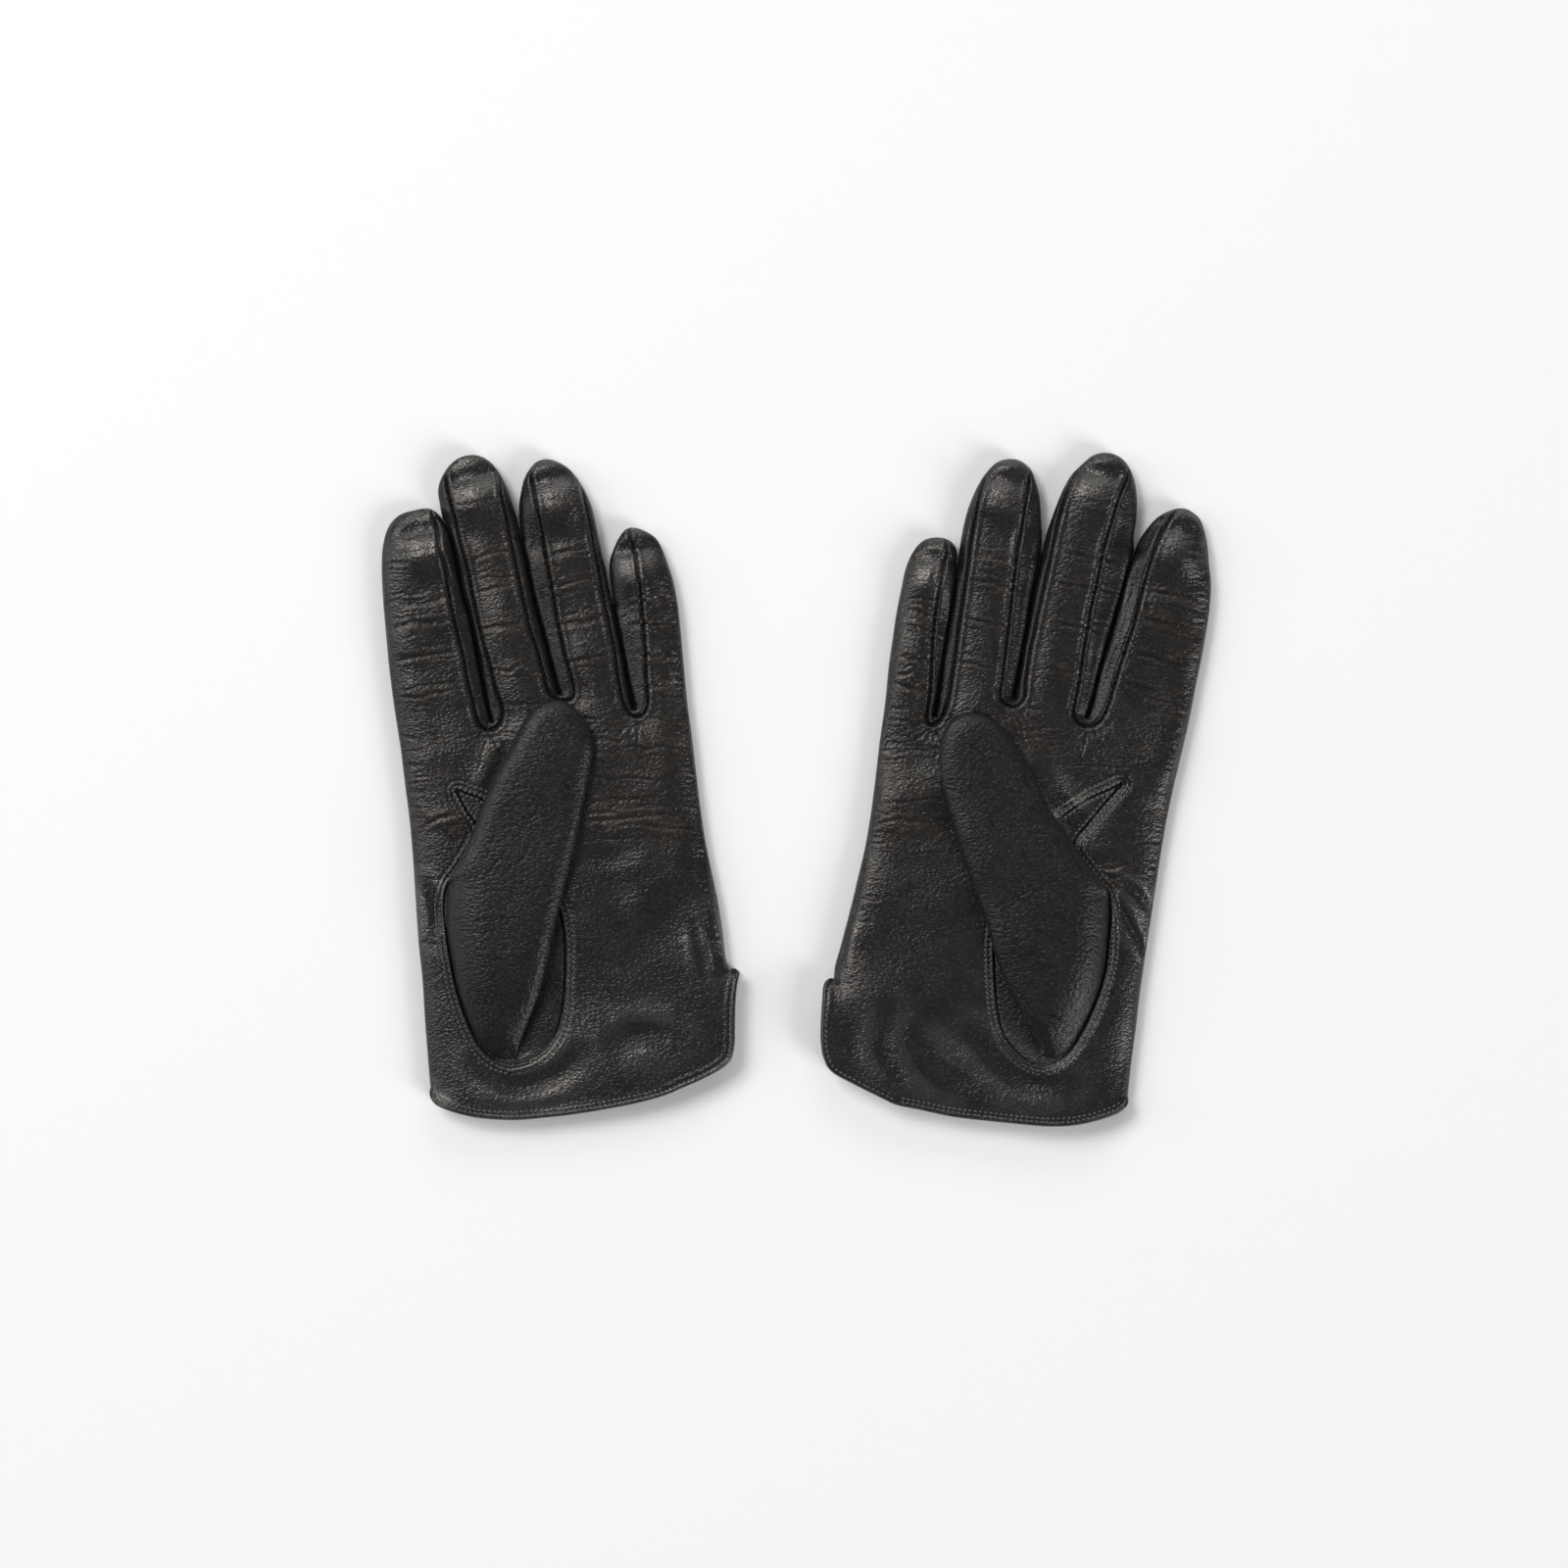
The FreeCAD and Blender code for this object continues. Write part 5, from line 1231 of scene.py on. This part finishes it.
            tags[hand & within & ~far] = "thumb_gusset"
            tags[hand & within & far] = "quirk_gusset"
        return tags

    def flange(self, tags, finger, m, k, fa, fb):
        tags[m & (finger == "")] = "crotch_" + k
        for f, other in ((fa, fb), (fb, fa)):
            name = f + "_fourchette" if f in ("index", "little") else "%s_fourchette_%s_side" % (f, other)
            tags[m & (finger == f)] = name

    def inner_faces(self):
        """The flesh side of the hand, seen through the cuff: the same two surfaces, a leather's thickness further in."""
        rows_at = [0.0, 0.12, 0.35, 0.9, 2.0, 4.0, 4.6, 6.5, 9, 12, 16, 20, 26, 32, 40, 50, 60]
        n = self.bound[2:-1]
        pts = spaced(n, 1.0)
        nr = soften(rights(pts) * self.sign, 4)
        for tag, top in (("palm_panel", True), ("back_panel", False)):
            grid = []
            for r in rows_at:
                q = pts + nr * r
                if r > 5:
                    t = min(1, (r - 5) / 30)
                    cx = pts[:, 0].mean()
                    q[:, 0] = q[:, 0] * (1 - 0.12 * t) + cx * 0.12 * t
                    q[:, 1] = np.maximum(q[:, 1], pts[:, 1] + 0.2)
                hz = (self.top(q, False) + self.lifted(q)) if top else self.bottom(q)
                thick = 0.0 if r == 0 else (0.75 if r < 0.2 else (1.1 if r < 0.6 else (1.5 if r < 4.3 else (0.95 if r < 5 else (1.4 if r < 7 else 1.9)))))
                z = hz - thick if top else hz + thick
                grid.append(np.column_stack([q, z]))
            g = np.array(grid)
            a, b = g.shape[:2]
            i = np.arange(a * b).reshape(a, b)
            q = np.stack([i[:-1, :-1], i[:-1, 1:], i[1:, 1:], i[1:, :-1]], -1).reshape(-1, 4)
            flip = (self.sign > 0) != top
            if flip:
                q = q[:, ::-1]
            t = np.vstack([q[:, [0, 1, 2]], q[:, [0, 2, 3]]])
            sk = Skin()
            sk.add(g.reshape(-1, 3), t, ["x"] * len(t))
            sk.finish()
            o = make_object("%s_%s_inside" % (self.side, tag), sk.points, sk.faces, sk.normals, [SUEDE])
            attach(o, self.side + "_hand")

    def place(self, o, tag):
        """Attaches a piece of the hand to the hand's body, bakes a finger piece's transform into its mesh, and lets
        the piece stand for its CAD piece, which it hides.
        """
        side = self.side
        hand = side + "_hand"
        f = tag.split("_")[0]
        if f in FINGERS:
            p0, d, line = self.base[f]
            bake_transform(o)
        else:
            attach(o, hand)
        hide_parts("%s_%s" % (side, tag))

    # -------------------------------------------------------- thumb
    def thumb_heights(self, p):
        df = self.fold_seam.away(p)
        de = self.free_edge.away(p)
        base = (7.95 * de**1.5 + 11.7 * df**1.5) / (de**1.5 + df**1.5 + 1e-6)
        near_foot = np.linalg.norm(p - self.foot, axis=1)
        base = base - 2.4 * np.exp(-((near_foot / 13.0) ** 2)) * (base > 8)
        base = np.maximum(base, 7.9)
        k = bulge(df / 13.0, 1.75) * bulge(de / 6.2, 2.2)
        up = 15.35 + 0.5 * (1 - np.exp(-((de / 9.0) ** 2)))
        # the tube narrows to its foot
        up -= 3.0 * np.exp(-((near_foot / 20.0) ** 2))
        z = base + (up - base) * k
        zb = base + (8.95 - base) * bulge(df / 6.0) * bulge(de / 4.2, 2.2)
        return z, np.minimum(zb, z)

    def build_thumb(self):
        s, side = self.sign, self.side
        loop = self.thumb[:-1]
        rim = [0.08, 0.22, 0.45, 0.75, 1.15, 1.7, 2.4]
        n = rights(self.thumb)
        test = self.thumb + n * 0.5
        inward = 1 if inside(test, loop).mean() > 0.5 else -1
        rows = [(self.thumb, [r * inward for r in (rim)])]
        co, tri = surface(loop, [(loop, True)], None, FINE, rows)
        z, zb = self.thumb_heights(co)
        on = self.thumb_edge.away(co) < 0.004
        d = self.thumb_edge.away(co)
        rng = np.random.default_rng(31 if s > 0 else 37)
        box = (*(loop.min(0) - 3), *(loop.max(0) + 3))
        f = Field(box, 0.25)
        for _ in range(22):
            a = np.array((rng.uniform(box[0], box[2]), rng.uniform(box[1], box[3])))
            ang = rng.uniform(-0.6, 0.6) + (0.4 if s > 0 else -0.4)
            b = a + np.array((math.cos(ang), math.sin(ang))) * rng.uniform(4, 10)
            f.stroke(np.array([a, (a + b) / 2 + rng.normal(0, 0.5, 2), b]), rng.uniform(0.03, 0.08), rng.uniform(0.3, 0.6))
        broad = value_noise(box, 11.0, rng)
        mid = value_noise(box, 4.0, rng)
        g = step01(d, 0.3, 2.5)
        z = z + g * (f.sample(co) + 0.22 * broad.sample(co) + 0.05 * mid.sample(co))
        z = np.maximum(z, zb)
        mean = 0.5 * (z + zb)
        z[on] = zb[on] = mean[on]
        sk = Skin()
        crease = f.sample(co)
        # painted shading on the thumb: painted shade in the bottoms of its creases, and their ridges painted paler,
        # partly as wear of the dye and partly as painted highlight
        tone = np.column_stack([np.clip(crease / 0.12, -0.4, 0.6) * g, 0.12 * g, 0 * g])
        sk.add(np.column_stack([co, z]), tri, ["thumb_front"] * len(tri), tone)
        sk.add(np.column_stack([co, zb]), tri[:, ::-1], ["thumb_back"] * len(tri))
        sk.finish()
        self.thumb_field = (f, broad, mid)
        for tag in ("thumb_front", "thumb_back"):
            o = make_object("%s_%s_leather" % (side, tag), sk.points, sk.faces[sk.tags == tag], sk.normals, [THUMB], None, sk.tone)
            self.made[tag] = o
            a = np.array((*self.foot, 8.2))
            b = a + np.array((*(self.outwards * 9.0), 0))
            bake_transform(o)
            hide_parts("%s_%s" % (side, tag))

    # -------------------------------------------------------- thread
    def stitch_row(self, line, pitch, long, wide, height, jitter=0.07):
        """Separate stitches along a curve: flattened ovals that sink at both ends."""
        rng = self.rng
        total = length(line)
        n = int(total / pitch)
        t = (np.arange(n) + 0.5) * pitch
        a = arc(line)
        c = np.stack([np.interp(t, a, line[:, k]) for k in (0, 1)], 1)
        e = np.stack([np.interp(t + 0.3, a, line[:, k]) for k in (0, 1)], 1)
        b = np.stack([np.interp(t - 0.3, a, line[:, k]) for k in (0, 1)], 1)
        d = e - b
        d /= np.linalg.norm(d, axis=1)[:, None] + 1e-9
        z = height(c)
        zl = height(c + d * long * 0.5)
        zr = height(c - d * long * 0.5)
        verts, faces = [], []
        rings, segs = 6, 8
        for i in range(n):
            ang = rng.normal(0, jitter)
            u = np.array((d[i, 0] * math.cos(ang) - d[i, 1] * math.sin(ang), d[i, 0] * math.sin(ang) + d[i, 1] * math.cos(ang)))
            w = np.array((-u[1], u[0]))
            base = len(verts)
            for r in range(rings + 1):
                q = -1 + 2 * r / rings
                rad = max(0.06, math.sqrt(max(0.0, 1 - abs(q) ** 2.6)))
                zc = z[i] + (zl[i] - zr[i]) / 2 * q - 0.16 * q * q + 0.09
                for k in range(segs):
                    th = 2 * math.pi * k / segs
                    x = c[i] + u * q * long / 2 + w * math.cos(th) * rad * wide / 2
                    verts.append((x[0], x[1], zc + math.sin(th) * rad * wide * 0.42))
            for r in range(rings):
                for k in range(segs):
                    k2 = (k + 1) % segs
                    faces.append((base + r * segs + k, base + r * segs + k2, base + (r + 1) * segs + k2, base + (r + 1) * segs + k))
        return np.array(verts), np.array(faces)

    def stitches(self):
        side, s = self.side, self.sign

        def top(p):
            return self.top(p, False) + self.lifted(p) + step01(self.silhouette.away(p), 0.3, 3.0) * 0.38 * self.broad.sample(p)

        def put(name, groups, tag):
            vs, fs, n = [], [], 0
            for v, f in groups:
                vs.append(v)
                fs.append(f + n)
                n += len(v)
            v, f = np.vstack(vs), np.vstack(fs)
            o = make_object("%s_%s_stitches" % (side, name), v, f, None, [THREAD])
            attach(o, side + "_hand")
            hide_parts("%s_%s" % (side, tag))

        def beside(c, d, cut=3):
            q = soften(c + rights(c) * s * d, 2.0)
            return q[cut:-cut]

        bound = self.bound
        joint = nearest_index(bound, self.P["hem"][0])
        hem = bound[joint:]
        vent = bound[8 : joint + 4]
        keep = self.fold.away(hem) > 1.6
        hem = hem[keep]
        put("cuff_thread_lower", [self.stitch_row(beside(hem, 1.55), 1.7, 1.3, 0.56, top)], "cuff_thread_lower")
        put("cuff_thread_upper", [self.stitch_row(beside(hem, 2.75), 1.7, 1.3, 0.56, top), self.stitch_row(beside(vent, 1.55), 1.7, 1.3, 0.56, top)], "cuff_thread_upper")
        o = self.opening
        dt = self.thumb_edge.away(o)
        under = inside(o, self.thumb) & (dt > 1.5)

        def runs(c, mask):
            out, cur = [], []
            for q, ok in zip(c, mask):
                if ok:
                    cur.append(q)
                elif len(cur) > 8:
                    out.append(np.array(cur))
                    cur = []
                else:
                    cur = []
            if len(cur) > 8:
                out.append(np.array(cur))
            return out

        outside = 1 if inside(o + rights(o) * 0.5, self.opening).mean() < 0.5 else -1
        rows = {}
        for name, d in (("inner", 1.5), ("outer", 3.05)):
            c = soften(o + rights(o) * outside * d, 2.0)
            ok = (self.opening_line.away(c) > d * 0.8) & ~(inside(c, self.thumb) & (self.thumb_edge.away(c) > 1.5)) & (self.fold.away(c) > 0.8)
            rows[name] = [self.stitch_row(r, 1.7, 1.3, 0.56, top) for r in runs(c, ok)]
        (qx, qy), qd = self.P["quirk_line"]
        far = (o - np.array((qx, qy))) @ np.array(qd) > -1.0
        for d in (0.75, -0.85):
            c = soften(o + rights(o) * outside * d, 1.0)
            ok = far & (self.opening_line.away(c) > abs(d) * 0.8) & ~(inside(c, self.thumb) & (self.thumb_edge.away(c) > 1.0))
            rows["inner"] += [self.stitch_row(r, 1.75, 1.35, 0.85, top, 0.25) for r in runs(c, ok)]
        put("thumb_thread_inner", rows["inner"], "thumb_thread_inner")
        put("thumb_thread_outer", rows["outer"], "thumb_thread_outer")


GLOVES = [Glove("left", LEFT_PATTERN, 11), Glove("right", RIGHT_PATTERN, 23)]
for g in GLOVES:
    g.build()


# ------------------------------------------------------------------ table, light and camera
def floor_material():
    mat = bpy.data.materials.new("table")
    mat.use_nodes = True
    bsdf = mat.node_tree.nodes["Principled BSDF"]
    bsdf.inputs["Base Color"].default_value = (0.93, 0.93, 0.93, 1)
    bsdf.inputs["Roughness"].default_value = 0.9
    bsdf.inputs["Specular IOR Level"].default_value = 0.1
    return mat


mesh = bpy.data.meshes.new("table")
r = 3.0
mesh.from_pydata([(-r, -r, -0.0002), (r, -r, -0.0002), (r, r, -0.0002), (-r, r, -0.0002)], [], [(0, 1, 2, 3)])
mesh.materials.append(floor_material())
table = bpy.data.objects.new("table", mesh)
bpy.context.scene.collection.objects.link(table)


def area(name, at, size, power, target=(0, 0, 0)):
    d = bpy.data.lights.new(name, "AREA")
    d.shape = "RECTANGLE"
    d.size, d.size_y = size
    d.energy = power
    o = bpy.data.objects.new(name, d)
    o.location = at
    o.rotation_euler = (Vector(target) - Vector(at)).to_track_quat("-Z", "Y").to_euler()
    bpy.context.scene.collection.objects.link(o)
    return o


area("key", (-1.35, 1.35, 2.4), (1.35, 1.35), 51.0)
area("left", (-3.2, 0.2, 1.7), (1.6, 2.0), 28.0)
area("top", (0.4, 3.3, 1.8), (2.4, 1.2), 27.0)
area("right", (3.2, -2.2, 2.1), (1.6, 2.2), 104.0)

world = bpy.data.worlds.new("studio")
world.use_nodes = True
world.node_tree.nodes["Background"].inputs["Color"].default_value = (1, 1, 1, 1)
world.node_tree.nodes["Background"].inputs["Strength"].default_value = 0.20
bpy.context.scene.world = world

cam = bpy.data.cameras.new("camera")
cam.sensor_width = 36.0
cam.lens = 36.0 * 1.496 / 0.512
camera = bpy.data.objects.new("camera", cam)
camera.location = (-0.004, 0.0016, 1.5)
camera.rotation_euler = (0, 0, 0)
bpy.context.scene.collection.objects.link(camera)
bpy.context.scene.camera = camera
bpy.context.scene.view_settings.view_transform = "Standard"
bpy.context.scene.view_settings.look = "None"

bpy.context.view_layer.update()
